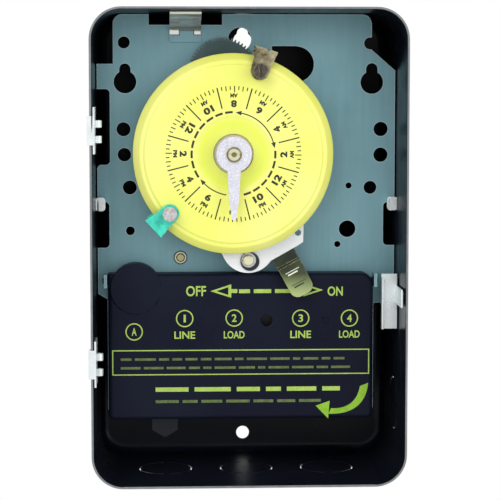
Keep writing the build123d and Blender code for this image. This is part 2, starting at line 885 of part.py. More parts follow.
def make_manual_lever():
    """Z-bent lever: flat behind the bridge, then a step forward over the cover."""
    way = lever_plane(0).x_dir
    edge_on = Plane(origin=(pivot_x, 0, pivot_z), x_dir=way, z_dir=way.cross(Vector(0, -1, 0)))
    with BuildPart() as manual_lever:
        with BuildSketch(edge_on):
            with BuildLine():
                Polyline(
                    (-7, lever_depth),
                    (lever_bend + lever_sheet, lever_depth),
                    (lever_bend + lever_sheet, lever_front),
                    (lever_reach, lever_front),
                    (lever_reach, lever_front + lever_sheet),
                    (lever_bend, lever_front + lever_sheet),
                    (lever_bend, lever_depth + lever_sheet),
                    (-7, lever_depth + lever_sheet),
                    close=True,
                )
            make_face()
        extrude(amount=10, both=True)
        with BuildSketch(lever_plane(lever_depth - 1)) as plan:
            Circle(6)
            with BuildLine():
                Polyline(
                    (0, lever_half),
                    (lever_reach, lever_tip_half),
                    (lever_reach, -lever_tip_half),
                    (0, -lever_half),
                    close=True,
                )
            make_face()
            fillet(plan.vertices().group_by(Axis((0, 0, 0), plan.workplanes[0].x_dir))[-1], radius=3.4)
        extrude(amount=12, mode=Mode.INTERSECT)
        disc(pivot_x, pivot_z, shaft_radius + touch, lever_depth - 1, lever_depth + 3, Mode.SUBTRACT)
    save(manual_lever, "manual_lever")


def make_lever_shaft():
    with BuildPart() as lever_shaft:
        disc(pivot_x, pivot_z, shaft_radius, cam_depth - 0.6, gear_depth + 1.9)
    save(lever_shaft, "lever_shaft")


def make_trip_arm():
    """Two-horned arm on the shaft that the trippers' legs strike."""
    out = degrees(atan2(pivot_z - dial_z, pivot_x - dial_x))
    with BuildPart() as trip_arm:
        with BuildSketch(facing(pivot_x, pivot_z, gear_depth + 0.1, out)):
            Circle(3.4)
            for side in (-1, 1):
                with BuildLine():
                    Polyline(
                        (0, 2.6 * side),
                        (7.6, 7.0 * side),
                        (8.0, 4.8 * side),
                        (2.6, 0),
                        (0, 0),
                        close=True,
                    )
                make_face()
            Circle(shaft_radius + touch, mode=Mode.SUBTRACT)
        extrude(amount=1.4)
    save(trip_arm, "trip_arm")


def make_switch_cam():
    """Spiral cam: its radius grows evenly with angle, so the lifter moves evenly."""
    first = -8
    last = 28
    steps = 6
    rim = []
    for step in range(steps + 1):
        turn = first + (last - first) * step / steps
        radius = cam_radius + lift_rate * radians(turn)
        rim.append((radius * sin(radians(turn)), -radius * cos(radians(turn))))
    with BuildPart() as switch_cam:
        with BuildSketch(facing(pivot_x, pivot_z, cam_depth, 0)):
            with BuildLine():
                Spline(*rim)
                Polyline(rim[-1], (3.5, 0), (-3.5, 0), rim[0])
            make_face()
            Circle(5.0)
            Circle(shaft_radius + touch, mode=Mode.SUBTRACT)
        extrude(amount=cam_thick)
    save(switch_cam, "switch_cam")


def make_contact_lifter():
    """Insulating slide behind the plate: a nose under the cam and a finger over each blade."""
    nose_z = pivot_z - cam_radius - nose_gap - nose_radius
    shoulder = nose_z - 3
    bar_top = finger_low + finger_height + 1
    bar_low = finger_low - 2
    with BuildPart() as contact_lifter:
        disc(pivot_x, nose_z, nose_radius, cam_depth, cam_depth + cam_thick)
        block(
            pivot_x - nose_radius,
            pivot_x + nose_radius,
            shoulder,
            nose_z,
            cam_depth,
            cam_depth + cam_thick,
        )
        block(pivot_x - 3, pivot_x + 3, bar_top, shoulder, cam_depth, cam_depth + cam_thick)
        block(finger_xs[0] - 3, finger_xs[1] + 3, bar_low, bar_top, cam_depth, cam_depth + cam_thick)
        for place in finger_xs:
            block(
                place - finger_width / 2,
                place + finger_width / 2,
                finger_low,
                finger_low + finger_height,
                cam_depth + cam_thick,
                blade_back + 3.6,
            )
    save(contact_lifter, "contact_lifter")


def make_detent_spring():
    """Leaf spring from the plate to the back of the lever, which holds it on or off."""
    top = lever_depth - spare
    with BuildPart() as detent_spring:
        with BuildSketch(Plane.XY.offset(detent_z - 2.5)):
            with BuildLine():
                Polyline(
                    (-9, -plate_front),
                    (-3, -plate_front),
                    (8.6, -top + detent_sheet),
                    (14, -top + detent_sheet),
                    (14, -top),
                    (8.4, -top),
                    (-3.2, -plate_front - detent_sheet),
                    (-9, -plate_front - detent_sheet),
                    close=True,
                )
            make_face()
        extrude(amount=5)
    save(detent_spring, "detent_spring")


def make_bridge():
    """Bright bridge that bears the front end of the lever's shaft."""
    bridge_top = bridge_depth + bridge_sheet
    with BuildPart() as bridge_plate:
        with BuildSketch(front(bridge_depth)):
            with BuildLine():
                ThreePointArc((-10.3, -3.8), (-1.5, -11.1), (9.5, -6.3))
                Polyline(
                    (9.5, -6.3),
                    (20.3, -0.2),
                    (22.9, 1.5),
                    (23.1, 8.1),
                    (23.1, 14),
                    (-11.5, 14),
                    (-11.5, -2),
                    (-10.3, -3.8),
                )
            make_face()
            with Locations((pivot_x, pivot_z)):
                Circle(shaft_radius + running_fit, mode=Mode.SUBTRACT)
            with Locations((20.7, 5.4)):
                Circle(1.3, mode=Mode.SUBTRACT)
            with Locations((bridge_screw_x, bridge_screw_z)):
                Circle(1.5 + touch, mode=Mode.SUBTRACT)
        extrude(amount=bridge_sheet)
        block(-11.5, -10.3, 4.5, 12.5, plate_front, bridge_depth)
        block(21.9, 23.1, 8.5, 13.5, plate_front, bridge_depth)
    save(bridge_plate, "bridge_plate")
    with BuildPart() as spring_washer:
        with BuildSketch(front(bridge_top)):
            with Locations((bridge_screw_x + 0.7, bridge_screw_z - 0.5)):
                Circle(3.9)
            with Locations((bridge_screw_x, bridge_screw_z)):
                Circle(1.5 + touch, mode=Mode.SUBTRACT)
        extrude(amount=0.7)
    save(spring_washer, "spring_washer")
    with BuildPart() as bridge_screw:
        disc(bridge_screw_x, bridge_screw_z, 1.5, bridge_depth - 0.2, bridge_top + 0.7)
        disc(bridge_screw_x, bridge_screw_z, 2.3, bridge_top + 0.7, bridge_top + 2.1)
        fillet(bridge_screw.faces().sort_by(Axis.Y)[0].edges(), radius=0.8)
    save(bridge_screw, "bridge_screw")


# ---------------------------------------------------------- terminal block
def make_terminal_block():
    slot_top = finger_low + finger_height + spare
    slot_low = finger_low - lift - spare
    screw_bore = terminal_screw_radius + touch
    with BuildPart() as terminal_block:
        block(block_left, block_right, block_low, block_top, plate_front, block_front)
        for place in rib_xs:
            block(place - 0.7, place + 0.7, strip_low - 1, strip_top, block_front, block_front + 5)
        for place in finger_xs:
            block(
                place - finger_width / 2 - spare,
                place + finger_width / 2 + spare,
                slot_low,
                slot_top,
                plate_front - 1,
                block_front + 1,
                Mode.SUBTRACT,
            )
        for place in terminal_xs:
            disc(place, terminal_screw_z, screw_bore, plate_front + 0.4, block_front + 1, Mode.SUBTRACT)
        for x, z in block_screws_at:
            disc(x, z, 1.55 + touch, plate_front - 1, block_front + 1, Mode.SUBTRACT)
    save(terminal_block, "terminal_block")


def terminal_strip(place):
    """Screw end of a terminal, flat on the block."""
    half = strip_width / 2
    screw_bore = terminal_screw_radius + touch
    block(place - half, place + half, strip_low, strip_top, block_front, strip_front)
    disc(place, terminal_screw_z, screw_bore, block_front - 1, strip_front + 1, Mode.SUBTRACT)


def make_terminals():
    flange_front = blade_back + 3.7
    with BuildPart() as clock_terminal:
        terminal_strip(clock_place)
    save(clock_terminal, "clock_terminal")
    for place, side in zip(line_places, ("left", "right")):
        with BuildPart() as line_terminal:
            terminal_strip(place)
            top = blade_top + 2.9
            block(place - neck_half, place + neck_half, strip_top, top, block_front, strip_front)
            block(place - neck_half, place + neck_half, top - strip_sheet, top, strip_front, flange_front)
            button = Plane(origin=(place, -contact_depth, top - strip_sheet), z_dir=(0, 0, -1))
            with BuildSketch(button):
                Circle(1.5)
            extrude(amount=0.9)
        save(line_terminal, f"line_terminal_{side}")
    for place, contact_x, side in zip(load_places, line_places, ("left", "right")):
        root = place + blade_root
        with BuildPart() as load_terminal:
            terminal_strip(place)
            block(root - 2.0, root + 1.5, strip_top, blade_top + 1.6, block_front, strip_front)
            block(root + spare, root + 1.5, blade_top - 3.0, blade_top + 1.6, strip_front, flange_front)
        save(load_terminal, f"load_terminal_{side}")
        with BuildPart() as contact_blade:
            block(root - blade_reach, root, blade_top - blade_sheet, blade_top, blade_back, blade_back + 3.4)
            with BuildSketch(Plane(origin=(contact_x, -contact_depth, blade_top), z_dir=(0, 0, 1))):
                Circle(1.5)
            extrude(amount=0.7)
        save(contact_blade, f"contact_blade_{side}")


def make_terminal_screws():
    with BuildPart() as terminal_screws:
        for place in terminal_xs:
            disc(place, terminal_screw_z, terminal_screw_radius, plate_front + 0.6, strip_front)
            disc(place, terminal_screw_z, 3.6, strip_front, strip_front + 2.4)
            block(
                place - 4,
                place + 4,
                terminal_screw_z - 0.5,
                terminal_screw_z + 0.5,
                strip_front + 1.3,
                strip_front + 3,
                Mode.SUBTRACT,
            )
    save(terminal_screws, "terminal_screws")
    with BuildPart() as block_screws:
        for x, z in block_screws_at:
            disc(x, z, 1.55, plate_back - 1.5, block_front)
            disc(x, z, 2.8, block_front, block_front + 1.8)
    save(block_screws, "block_screws")


def cover_face():
    """Outline of the cover seen from the front, with a large upper right corner."""
    with BuildSketch(mode=Mode.PRIVATE) as face:
        with Locations(((cover_left + cover_right) / 2, (cover_top + cover_low) / 2)):
            Rectangle(cover_right - cover_left, cover_top - cover_low)
        fillet(face.vertices().group_by(Axis.Y)[-1].sort_by(Axis.X)[-1], radius=5)
        fillet(face.vertices().group_by(Axis.Y)[0], radius=2.5)
    return face.sketch


def make_insulator():
    """Moulded terminal cover that lifts about two pegs at its upper corners."""
    inner_front = cover_front - cover_wall
    ear_root = cover_top - cover_wall / 2
    ear_foot = ear_z - ear_radius - 1
    with BuildPart() as insulator:
        with BuildSketch(front(cover_back)):
            add(cover_face())
        extrude(amount=cover_front - cover_back)
        # the top edge is rounded so that it turns clear of the bridge
        top_edge = insulator.edges().filter_by(Axis.X).group_by(Axis.Z)[-1].sort_by(Axis.Y)[0]
        fillet(top_edge, radius=cover_round)
        with BuildSketch(front(cover_back)):
            add(cover_face())
            offset(amount=-cover_wall)
        extrude(amount=inner_front - cover_back, mode=Mode.SUBTRACT)
        # round ear that stands above the upper left corner
        with BuildSketch(front(ear_back)):
            with Locations((ear_x, ear_z)):
                Circle(ear_radius)
            with Locations((ear_x, (ear_root + ear_foot) / 2)):
                Rectangle(3 * ear_radius, ear_root - ear_foot, mode=Mode.SUBTRACT)
        extrude(amount=inner_front - ear_back)
        with BuildSketch(front(inner_front)):
            with Locations((ear_x, ear_z)):
                Circle(ear_radius)
        extrude(amount=cover_wall + ear_proud)
        # probe hole and square recess in the face
        disc(probe_x, probe_z, probe_radius, inner_front - 1, cover_front + 1, Mode.SUBTRACT)
        block(
            recess_x - recess_half,
            recess_x + recess_half,
            recess_z - 0.75 * recess_half,
            recess_z + 0.75 * recess_half,
            cover_front - 0.8,
            cover_front + 1,
            Mode.SUBTRACT,
        )
        # pegs
        sunk = cover_wall - 0.1
        for face_x, side in ((cover_left + sunk, -1), (cover_right - sunk, 1)):
            with BuildSketch(Plane(origin=(face_x, -cover_axis_depth, cover_axis_z), z_dir=(side, 0, 0))):
                Circle(peg_radius)
            extrude(amount=sunk + bracket_gap + bracket_sheet + 0.6)
    save(insulator, "insulator")


make_case()
make_hinge_clips()
make_door_latch()
make_ground_screw()
make_release_clip()
make_mounting_plate()
make_plate_rivets()
make_centre_post()
make_dial_bush()
make_dial_hub()
make_dial_spring()
make_dial()
make_dial_gear()
make_time_wheel()
make_motor()
make_pointer()
make_tripper("tripper_on", on_angle)
make_tripper("tripper_off", off_angle)
make_manual_lever()
make_lever_shaft()
make_trip_arm()
make_switch_cam()
make_contact_lifter()
make_detent_spring()
make_bridge()
make_terminal_block()
make_terminals()
make_terminal_screws()
make_insulator()
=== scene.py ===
import json
import math

import bmesh
import bpy
import numpy as np
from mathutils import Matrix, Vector


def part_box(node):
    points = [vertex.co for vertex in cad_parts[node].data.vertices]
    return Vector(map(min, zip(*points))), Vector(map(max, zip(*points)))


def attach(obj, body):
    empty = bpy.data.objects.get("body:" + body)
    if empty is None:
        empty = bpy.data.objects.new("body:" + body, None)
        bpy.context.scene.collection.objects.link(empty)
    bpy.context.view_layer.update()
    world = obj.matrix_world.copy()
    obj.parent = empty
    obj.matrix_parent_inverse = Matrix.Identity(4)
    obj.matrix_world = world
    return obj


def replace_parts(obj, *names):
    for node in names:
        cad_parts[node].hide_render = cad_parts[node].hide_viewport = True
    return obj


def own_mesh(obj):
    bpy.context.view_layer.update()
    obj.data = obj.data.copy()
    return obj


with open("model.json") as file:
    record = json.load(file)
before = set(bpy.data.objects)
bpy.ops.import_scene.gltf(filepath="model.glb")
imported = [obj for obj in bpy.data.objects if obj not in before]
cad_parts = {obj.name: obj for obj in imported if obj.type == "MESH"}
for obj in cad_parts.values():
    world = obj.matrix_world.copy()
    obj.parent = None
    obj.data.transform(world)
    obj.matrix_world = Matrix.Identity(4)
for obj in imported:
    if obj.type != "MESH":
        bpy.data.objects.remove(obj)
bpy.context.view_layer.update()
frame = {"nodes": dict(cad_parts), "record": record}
record = frame["record"]
bodyOf = {node: body for body, members in record["behaviour"]["bodies"].items() for node in members}
slotOf = {part["node"]: part["material_slot"] for part in record["subparts"]}
mm = 0.001
print("frame loaded:", len(frame["nodes"]), "nodes")


# places that several pieces share, read from the frame; the cover's ears stand proud of its face

def middleOf(node):
    low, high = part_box(node)
    return (low + high) / 2


def frontOf(node):
    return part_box(node)[0].y


dialMiddle = middleOf("dial")
dialPlace = (dialMiddle.x, dialMiddle.z)
dialFront = frontOf("dial")
earProud = 0.4 * mm
coverFace = frontOf("insulator") + earProud
eyeletRadius = 2.8 * mm
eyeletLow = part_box("plate_rivets")[0]
eyeletPlace = (eyeletLow.x + eyeletRadius, eyeletLow.z + eyeletRadius)


# materials: every surface gets variation, worn edges that some looks also use as a painted highlight, and
# bump from its nodes

def newMaterial(name, look):
    # look gives the even values; the tree below adds what changes over the surface
    mat = bpy.data.materials.new(name)
    mat.use_nodes = True
    shader = mat.node_tree.nodes["Principled BSDF"]
    shader.inputs["Metallic"].default_value = look.get("metal", 0.0)
    shader.inputs["Specular IOR Level"].default_value = look.get("shine", 0.5)
    shader.inputs["Coat Weight"].default_value = look.get("coat", 0.0)
    shader.inputs["Coat Roughness"].default_value = look.get("coatRough", 0.1)
    return mat, mat.node_tree, shader


def addNode(tree, kind, **inputs):
    node = tree.nodes.new(kind)
    for key, value in inputs.items():
        node.inputs[key.replace("_", " ")].default_value = value
    return node


def patternPlace(tree, stretch=(1, 1, 1), turn=(0, 0, 0)):
    # object coordinates, stretched so that a noise becomes a grain along one axis
    coords = tree.nodes.new("ShaderNodeTexCoord")
    mapping = tree.nodes.new("ShaderNodeMapping")
    mapping.inputs["Scale"].default_value = stretch
    mapping.inputs["Rotation"].default_value = turn
    tree.links.new(coords.outputs["Object"], mapping.inputs["Vector"])
    return mapping.outputs["Vector"]


def noiseAt(tree, place, scale, detail=3.0, roughness=0.55, low=0.35, high=0.65):
    # noise, pulled apart so that it runs from 0 to 1
    noise = addNode(tree, "ShaderNodeTexNoise", Scale=scale, Detail=detail, Roughness=roughness)
    tree.links.new(place, noise.inputs["Vector"])
    spread = addNode(tree, "ShaderNodeMapRange", From_Min=low, From_Max=high)
    tree.links.new(noise.outputs["Fac"], spread.inputs["Value"])
    return spread.outputs["Result"]


def mixColours(tree, fac, first, second):
    # fac is a socket, first and second are colours or sockets
    mix = tree.nodes.new("ShaderNodeMix")
    mix.data_type = "RGBA"
    for socket, value in ((mix.inputs[6], first), (mix.inputs[7], second)):
        if isinstance(value, tuple):
            socket.default_value = (*value, 1.0)
        else:
            tree.links.new(value, socket)
    tree.links.new(fac, mix.inputs[0])
    return mix.outputs[2]


def scaled(tree, value, low, high):
    # a 0 to 1 value carried onto low to high
    spread = addNode(tree, "ShaderNodeMapRange", To_Min=low, To_Max=high)
    tree.links.new(value, spread.inputs["Value"])
    return spread.outputs["Result"]


def bumpFrom(tree, shader, height, strength, distance):
    bump = addNode(tree, "ShaderNodeBump", Strength=strength, Distance=distance)
    tree.links.new(height, bump.inputs["Height"])
    tree.links.new(bump.outputs["Normal"], shader.inputs["Normal"])


def edgeMask(tree, radius, sharpness):
    # 1 where the surface bends within a small radius, 0 on the flats
    bevel = tree.nodes.new("ShaderNodeBevel")
    bevel.samples = 4
    bevel.inputs["Radius"].default_value = radius
    geometry = tree.nodes.new("ShaderNodeNewGeometry")
    dot = tree.nodes.new("ShaderNodeVectorMath")
    dot.operation = "DOT_PRODUCT"
    tree.links.new(bevel.outputs["Normal"], dot.inputs[0])
    tree.links.new(geometry.outputs["Normal"], dot.inputs[1])
    spread = addNode(tree, "ShaderNodeMapRange", From_Min=1.0, From_Max=1.0 - sharpness)
    tree.links.new(dot.outputs["Value"], spread.inputs["Value"])
    return spread.outputs["Result"]


def multiplied(tree, first, second):
    product = tree.nodes.new("ShaderNodeMath")
    product.operation = "MULTIPLY"
    tree.links.new(first, product.inputs[0])
    tree.links.new(second, product.inputs[1])
    return product.outputs[0]


def ringMask(tree, centre, inner, outer):
    # 1 inside the inner radius about an axis along Y, 0 outside the outer one
    coords = tree.nodes.new("ShaderNodeTexCoord")
    apart = addNode(tree, "ShaderNodeVectorMath")
    apart.operation = "SUBTRACT"
    apart.inputs[1].default_value = (centre[0], 0.0, centre[1])
    flat = addNode(tree, "ShaderNodeVectorMath")
    flat.operation = "MULTIPLY"
    flat.inputs[1].default_value = (1.0, 0.0, 1.0)
    length = addNode(tree, "ShaderNodeVectorMath")
    length.operation = "LENGTH"
    tree.links.new(coords.outputs["Object"], apart.inputs[0])
    tree.links.new(apart.outputs[0], flat.inputs[0])
    tree.links.new(flat.outputs[0], length.inputs[0])
    spread = addNode(tree, "ShaderNodeMapRange", From_Min=outer, From_Max=inner)
    tree.links.new(length.outputs["Value"], spread.inputs["Value"])
    return spread.outputs["Result"]


def heightMask(tree, high, low):
    # 1 below the low height, 0 above the high one
    coords = tree.nodes.new("ShaderNodeTexCoord")
    apart = tree.nodes.new("ShaderNodeSeparateXYZ")
    tree.links.new(coords.outputs["Object"], apart.inputs[0])
    spread = addNode(tree, "ShaderNodeMapRange", From_Min=high, From_Max=low)
    tree.links.new(apart.outputs["Z"], spread.inputs["Value"])
    return spread.outputs["Result"]


def surface(name, look):
    # base and second colour by a cloud, fine grain in colour and height, edges recoloured as worn edges and
    # in some looks as a painted highlight, uneven gloss
    mat, tree, shader = newMaterial(name, look)
    wide = patternPlace(tree)
    grainPlace = patternPlace(tree, look.get("stretch", (1, 1, 1)), look.get("turn", (0, 0, 0)))
    cloud = noiseAt(tree, wide, look.get("cloudScale", 30.0), 4.0)
    grain = noiseAt(tree, grainPlace, look.get("grainScale", 900.0), 3.0, 0.6)
    colour = mixColours(tree, cloud, look["colour"], look.get("second", look["colour"]))
    fleck = look.get("fleck")
    if fleck:
        band = look.get("fleckBand", (0.6, 0.68))
        specks = noiseAt(tree, grainPlace, look.get("fleckScale", 2200.0), 2.0, 0.5, *band)
        colour = mixColours(tree, specks, colour, fleck)
    else:
        shown = scaled(tree, grain, 0.0, look.get("grainShow", 0.15))
        colour = mixColours(tree, shown, colour, look.get("grainColour", look["colour"]))
    # edges recoloured: real wear, and on the plate, the case rim and the brass tripper also a painted
    # highlight
    wearAndHighlight = look.get("wearAndHighlight")
    if wearAndHighlight:
        band = look.get("wearAndHighlightBand", (0.42, 0.6))
        patchy = noiseAt(tree, wide, look.get("wearScale", 260.0), 4.0, 0.65, *band)
        edges = edgeMask(tree, look.get("wearRadius", 0.0006), 0.25)
        colour = mixColours(tree, multiplied(tree, edges, patchy), colour, wearAndHighlight)
    # colour in rings about a centre; on the dial and the pointer screw these rings are painted shade and
    # painted highlight
    for inner, outer, tint in look.get("rings", ()):
        colour = mixColours(tree, ringMask(tree, look["centre"], inner, outer), colour, tint)
    # painted shading by height: a colour over all below a given height, painted shade on the plate's foot and
    # painted light on the lever's tip
    if "below" in look:
        high, low, paintedShading = look["below"]
        colour = mixColours(tree, heightMask(tree, high, low), colour, paintedShading)
    tree.links.new(colour, shader.inputs["Base Color"])
    rough = look["rough"]
    tree.links.new(scaled(tree, cloud, rough[0], rough[1]), shader.inputs["Roughness"])
    bumpFrom(tree, shader, grain, look.get("bump", 0.15), look.get("bumpHeight", 0.00004))
    return mat


brushedX = (0.06, 1, 1)
brushedZ = (1, 1, 0.06)
looks = {
    # the case's inside, painted near-black and bluish as painted shade of the hollow
    "insidePaintedShade": dict(colour=(0.0035, 0.0052, 0.0100), second=(0.0080, 0.0110, 0.0190),
                         rough=(0.24, 0.40), shine=0.16, cloudScale=18.0, grainScale=420.0, bump=0.05,
                         wearAndHighlight=(0.030, 0.034, 0.042)),
    # grey enamel; its light edges are partly worn paint, partly a painted highlight on the rim
    "case_enamel": dict(colour=(0.16, 0.17, 0.175), second=(0.20, 0.21, 0.215), rough=(0.30, 0.45),
                        coat=0.2, cloudScale=22.0, grainScale=700.0, bump=0.10, wearAndHighlight=(0.50, 0.51, 0.52)),
    "zinc_plate": dict(colour=(0.160, 0.325, 0.365), second=(0.215, 0.400, 0.450), metal=0.40,
                       rough=(0.34, 0.50), cloudScale=26.0, grainScale=520.0, stretch=brushedZ,
                       # light edges: worn plating and a painted highlight round the holes and edges
                       grainShow=0.18, grainColour=(0.28, 0.48, 0.54), bump=0.10, wearAndHighlight=(0.60, 0.74, 0.78),
                       # below Z -69.6 mm the plate's foot is painted dark navy as painted shade under the
                       # cover
                       wearAndHighlightBand=(0.30, 0.42), below=(-0.0690, -0.0696, (0.006, 0.008, 0.016))),
    "bright_zinc": dict(colour=(0.80, 0.87, 0.88), second=(0.90, 0.95, 0.96), metal=0.55,
                        rough=(0.22, 0.38), cloudScale=160.0, fleck=(0.12, 0.13, 0.14), fleckScale=520.0,
                        fleckBand=(0.66, 0.70), stretch=brushedZ, bump=0.18),
    "nickel": dict(colour=(0.84, 0.84, 0.80), second=(0.94, 0.94, 0.92), metal=0.8, rough=(0.12, 0.24),
                   cloudScale=90.0, grainScale=800.0, stretch=brushedX, bump=0.05),
    "bright_steel": dict(colour=(0.90, 0.93, 0.92), second=(0.96, 0.97, 0.97), metal=0.35,
                         rough=(0.28, 0.42), cloudScale=70.0, grainScale=900.0, stretch=brushedX,
                         grainColour=(0.55, 0.55, 0.62), bump=0.08),
    "dark_spring": dict(colour=(0.030, 0.032, 0.040), second=(0.06, 0.06, 0.075), metal=0.8,
                        rough=(0.25, 0.4), cloudScale=150.0, grainScale=900.0, bump=0.08),
    "dial_yellow": dict(colour=(0.900, 0.930, 0.170), second=(0.960, 0.970, 0.260), rough=(0.30, 0.42),
                        coat=0.25, coatRough=0.18, cloudScale=34.0, grainScale=1600.0, grainShow=0.06,
                        grainColour=(0.80, 0.86, 0.10), bump=0.04, wearAndHighlight=(0.62, 0.66, 0.10),
                        # the dish painted deeper yellow at its wall as painted shade, and lighter in the
                        # middle as painted light
                        centre=dialPlace,
                        rings=((0.0132, 0.0160, (0.84, 0.93, 0.10)), (0.0085, 0.0120, (0.90, 0.96, 0.17)))),
    "pointer_silver": dict(colour=(0.62, 0.62, 0.74), second=(0.70, 0.70, 0.80), metal=0.25,
                           rough=(0.35, 0.5), cloudScale=300.0, fleck=(0.88, 0.88, 0.92), fleckScale=2600.0,
                           fleckBand=(0.52, 0.60), bump=0.25),
    "tripper_green": dict(colour=(0.010, 0.480, 0.350), second=(0.050, 0.860, 0.640), rough=(0.22, 0.4),
                          coat=0.5, cloudScale=240.0, grainScale=900.0, bump=0.15, wearAndHighlight=(0.45, 0.60, 0.52)),
    # dark brown brass; its light edges are partly wear, partly a painted cream highlight
    "tripper_brass": dict(colour=(0.085, 0.070, 0.032), second=(0.50, 0.45, 0.28), metal=0.6,
                          rough=(0.25, 0.42), cloudScale=260.0, grainScale=900.0, bump=0.2,
                          wearAndHighlight=(0.80, 0.76, 0.50)),
    "knurl_steel": dict(colour=(0.52, 0.50, 0.50), second=(0.82, 0.80, 0.80), metal=0.8, rough=(0.25, 0.4),
                        cloudScale=420.0, fleck=(0.60, 0.34, 0.40), fleckScale=1500.0,
                        fleckBand=(0.62, 0.70), bump=0.3),
    "knurl_dark": dict(colour=(0.055, 0.048, 0.036), second=(0.13, 0.11, 0.085), metal=0.75,
                       rough=(0.28, 0.45), cloudScale=420.0, grainScale=1500.0, bump=0.3,
                       wearAndHighlight=(0.45, 0.40, 0.30)),
    # the lever's base colour is near-black as a painted dark reflection, and below Z -11 mm it turns
    # yellow-green as painted light on the bent tip
    "lever_brass": dict(colour=(0.016, 0.026, 0.016), second=(0.055, 0.068, 0.030), metal=0.35,
                        rough=(0.16, 0.28), below=(-0.0110, -0.0195, (0.44, 0.54, 0.22)), cloudScale=110.0,
                        grainScale=900.0, stretch=brushedZ, bump=0.06, wearAndHighlight=(0.62, 0.66, 0.30)),
    "brass": dict(colour=(0.50, 0.37, 0.13), second=(0.64, 0.50, 0.20), metal=0.95, rough=(0.2, 0.36),
                  cloudScale=120.0, grainScale=900.0, bump=0.08),
    "gear_steel": dict(colour=(0.055, 0.095, 0.095), second=(0.10, 0.15, 0.15), metal=0.6,
                       rough=(0.35, 0.5), cloudScale=90.0, grainScale=900.0, bump=0.12,
                       wearAndHighlight=(0.42, 0.46, 0.46)),
    "navy_board": dict(colour=(0.0042, 0.0058, 0.0160), second=(0.0085, 0.0110, 0.0250), rough=(0.42, 0.56),
                       shine=0.10, cloudScale=16.0, grainScale=1500.0, grainShow=0.3,
                       grainColour=(0.010, 0.012, 0.026), bump=0.18, wearAndHighlight=(0.030, 0.034, 0.050)),
    "phenolic": dict(colour=(0.012, 0.008, 0.006), second=(0.025, 0.017, 0.012), rough=(0.3, 0.45),
                     cloudScale=40.0, grainScale=1200.0, bump=0.15),
    "nylon": dict(colour=(0.62, 0.59, 0.48), second=(0.70, 0.67, 0.56), rough=(0.4, 0.55), cloudScale=60.0,
                  grainScale=1000.0, bump=0.08),
    "motor_steel": dict(colour=(0.42, 0.44, 0.45), second=(0.55, 0.57, 0.58), metal=0.8, rough=(0.3, 0.45),
                        cloudScale=60.0, grainScale=700.0, stretch=brushedX, bump=0.1),
    "coil_tape": dict(colour=(0.30, 0.15, 0.03), second=(0.42, 0.24, 0.06), rough=(0.25, 0.4), coat=0.4,
                      cloudScale=70.0, grainScale=300.0, stretch=brushedX, bump=0.3),
    "ground_green": dict(colour=(0.015, 0.16, 0.05), second=(0.03, 0.26, 0.09), metal=0.5,
                         rough=(0.28, 0.4), cloudScale=200.0, grainScale=900.0, bump=0.1),
    "screw_cream": dict(colour=(0.74, 0.70, 0.46), second=(0.88, 0.85, 0.62), metal=0.4, rough=(0.25, 0.4),
                        cloudScale=300.0, grainScale=900.0, bump=0.12),
    "contact_copper": dict(colour=(0.55, 0.27, 0.12), second=(0.68, 0.38, 0.20), metal=0.95,
                           rough=(0.22, 0.35), cloudScale=150.0, grainScale=900.0, stretch=brushedZ,
                           bump=0.06),
    "lamination": dict(colour=(0.05, 0.05, 0.055), second=(0.09, 0.09, 0.1), metal=0.7, rough=(0.35, 0.5),
                       cloudScale=60.0, grainScale=900.0, stretch=(1, 14, 1), bump=0.3),
    "inkBlack": dict(colour=(0.010, 0.010, 0.008), second=(0.030, 0.032, 0.012), rough=(0.35, 0.5),
                     cloudScale=500.0, grainScale=2500.0, grainShow=0.2, grainColour=(0.09, 0.10, 0.02),
                     bump=0.1),
    "inkGreen": dict(colour=(0.38, 0.58, 0.08), second=(0.50, 0.68, 0.15), rough=(0.35, 0.5),
                     cloudScale=420.0, grainScale=2200.0, grainShow=0.35, grainColour=(0.16, 0.26, 0.03),
                     bump=0.15),
    "inkLeaf": dict(colour=(0.24, 0.50, 0.010), second=(0.32, 0.60, 0.030), rough=(0.35, 0.5),
                    cloudScale=420.0, grainScale=2200.0, grainShow=0.3, grainColour=(0.12, 0.28, 0.01),
                    bump=0.15),
    "inkFaint": dict(colour=(0.10, 0.15, 0.030), second=(0.16, 0.23, 0.05), rough=(0.4, 0.55),
                     cloudScale=520.0, grainScale=2600.0, grainShow=0.6, grainColour=(0.03, 0.05, 0.015),
                     bump=0.1),
    "eyelet": dict(colour=(0.012, 0.014, 0.012), second=(0.030, 0.032, 0.026), rough=(0.25, 0.4),
                   centre=eyeletPlace,
                   rings=((0.00238, 0.00246, (0.62, 0.63, 0.46)), (0.00175, 0.00182, (0.02, 0.02, 0.012)),
                           (0.00138, 0.00145, (0.52, 0.50, 0.24))),
                   metal=0.3, bump=0.1),
    # pointer screw: dark brass with its head painted cream as a painted highlight, darker at the middle
    "postScrewPaintedHighlight": dict(colour=(0.20, 0.17, 0.06), second=(0.32, 0.28, 0.12), rough=(0.18, 0.3),
                      centre=dialPlace, metal=0.6, cloudScale=700.0, grainScale=2400.0, bump=0.2,
                      rings=((0.00225, 0.0025, (0.74, 0.72, 0.52)), (0.00095, 0.0012, (0.26, 0.25, 0.10)))),
    "inkWhite": dict(colour=(0.70, 0.74, 0.55), second=(0.85, 0.88, 0.72), rough=(0.3, 0.4),
                     cloudScale=800.0, grainScale=2600.0, bump=0.1),
}
materials = {name: surface(name, look) for name, look in looks.items()}
print("materials made:", len(materials))

for node, obj in frame["nodes"].items():
    obj.data.materials.clear()
    obj.data.materials.append(materials[slotOf[node]])
    for poly in obj.data.polygons:
        poly.material_index = 0


# pieces: helpers that put worked-out surfaces into the scene

def addPiece(name, mesh, body, material):
    obj = bpy.data.objects.new(name, mesh)
    bpy.context.scene.collection.objects.link(obj)
    mesh.materials.clear()
    mesh.materials.append(materials[material])
    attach(obj, body)
    return obj


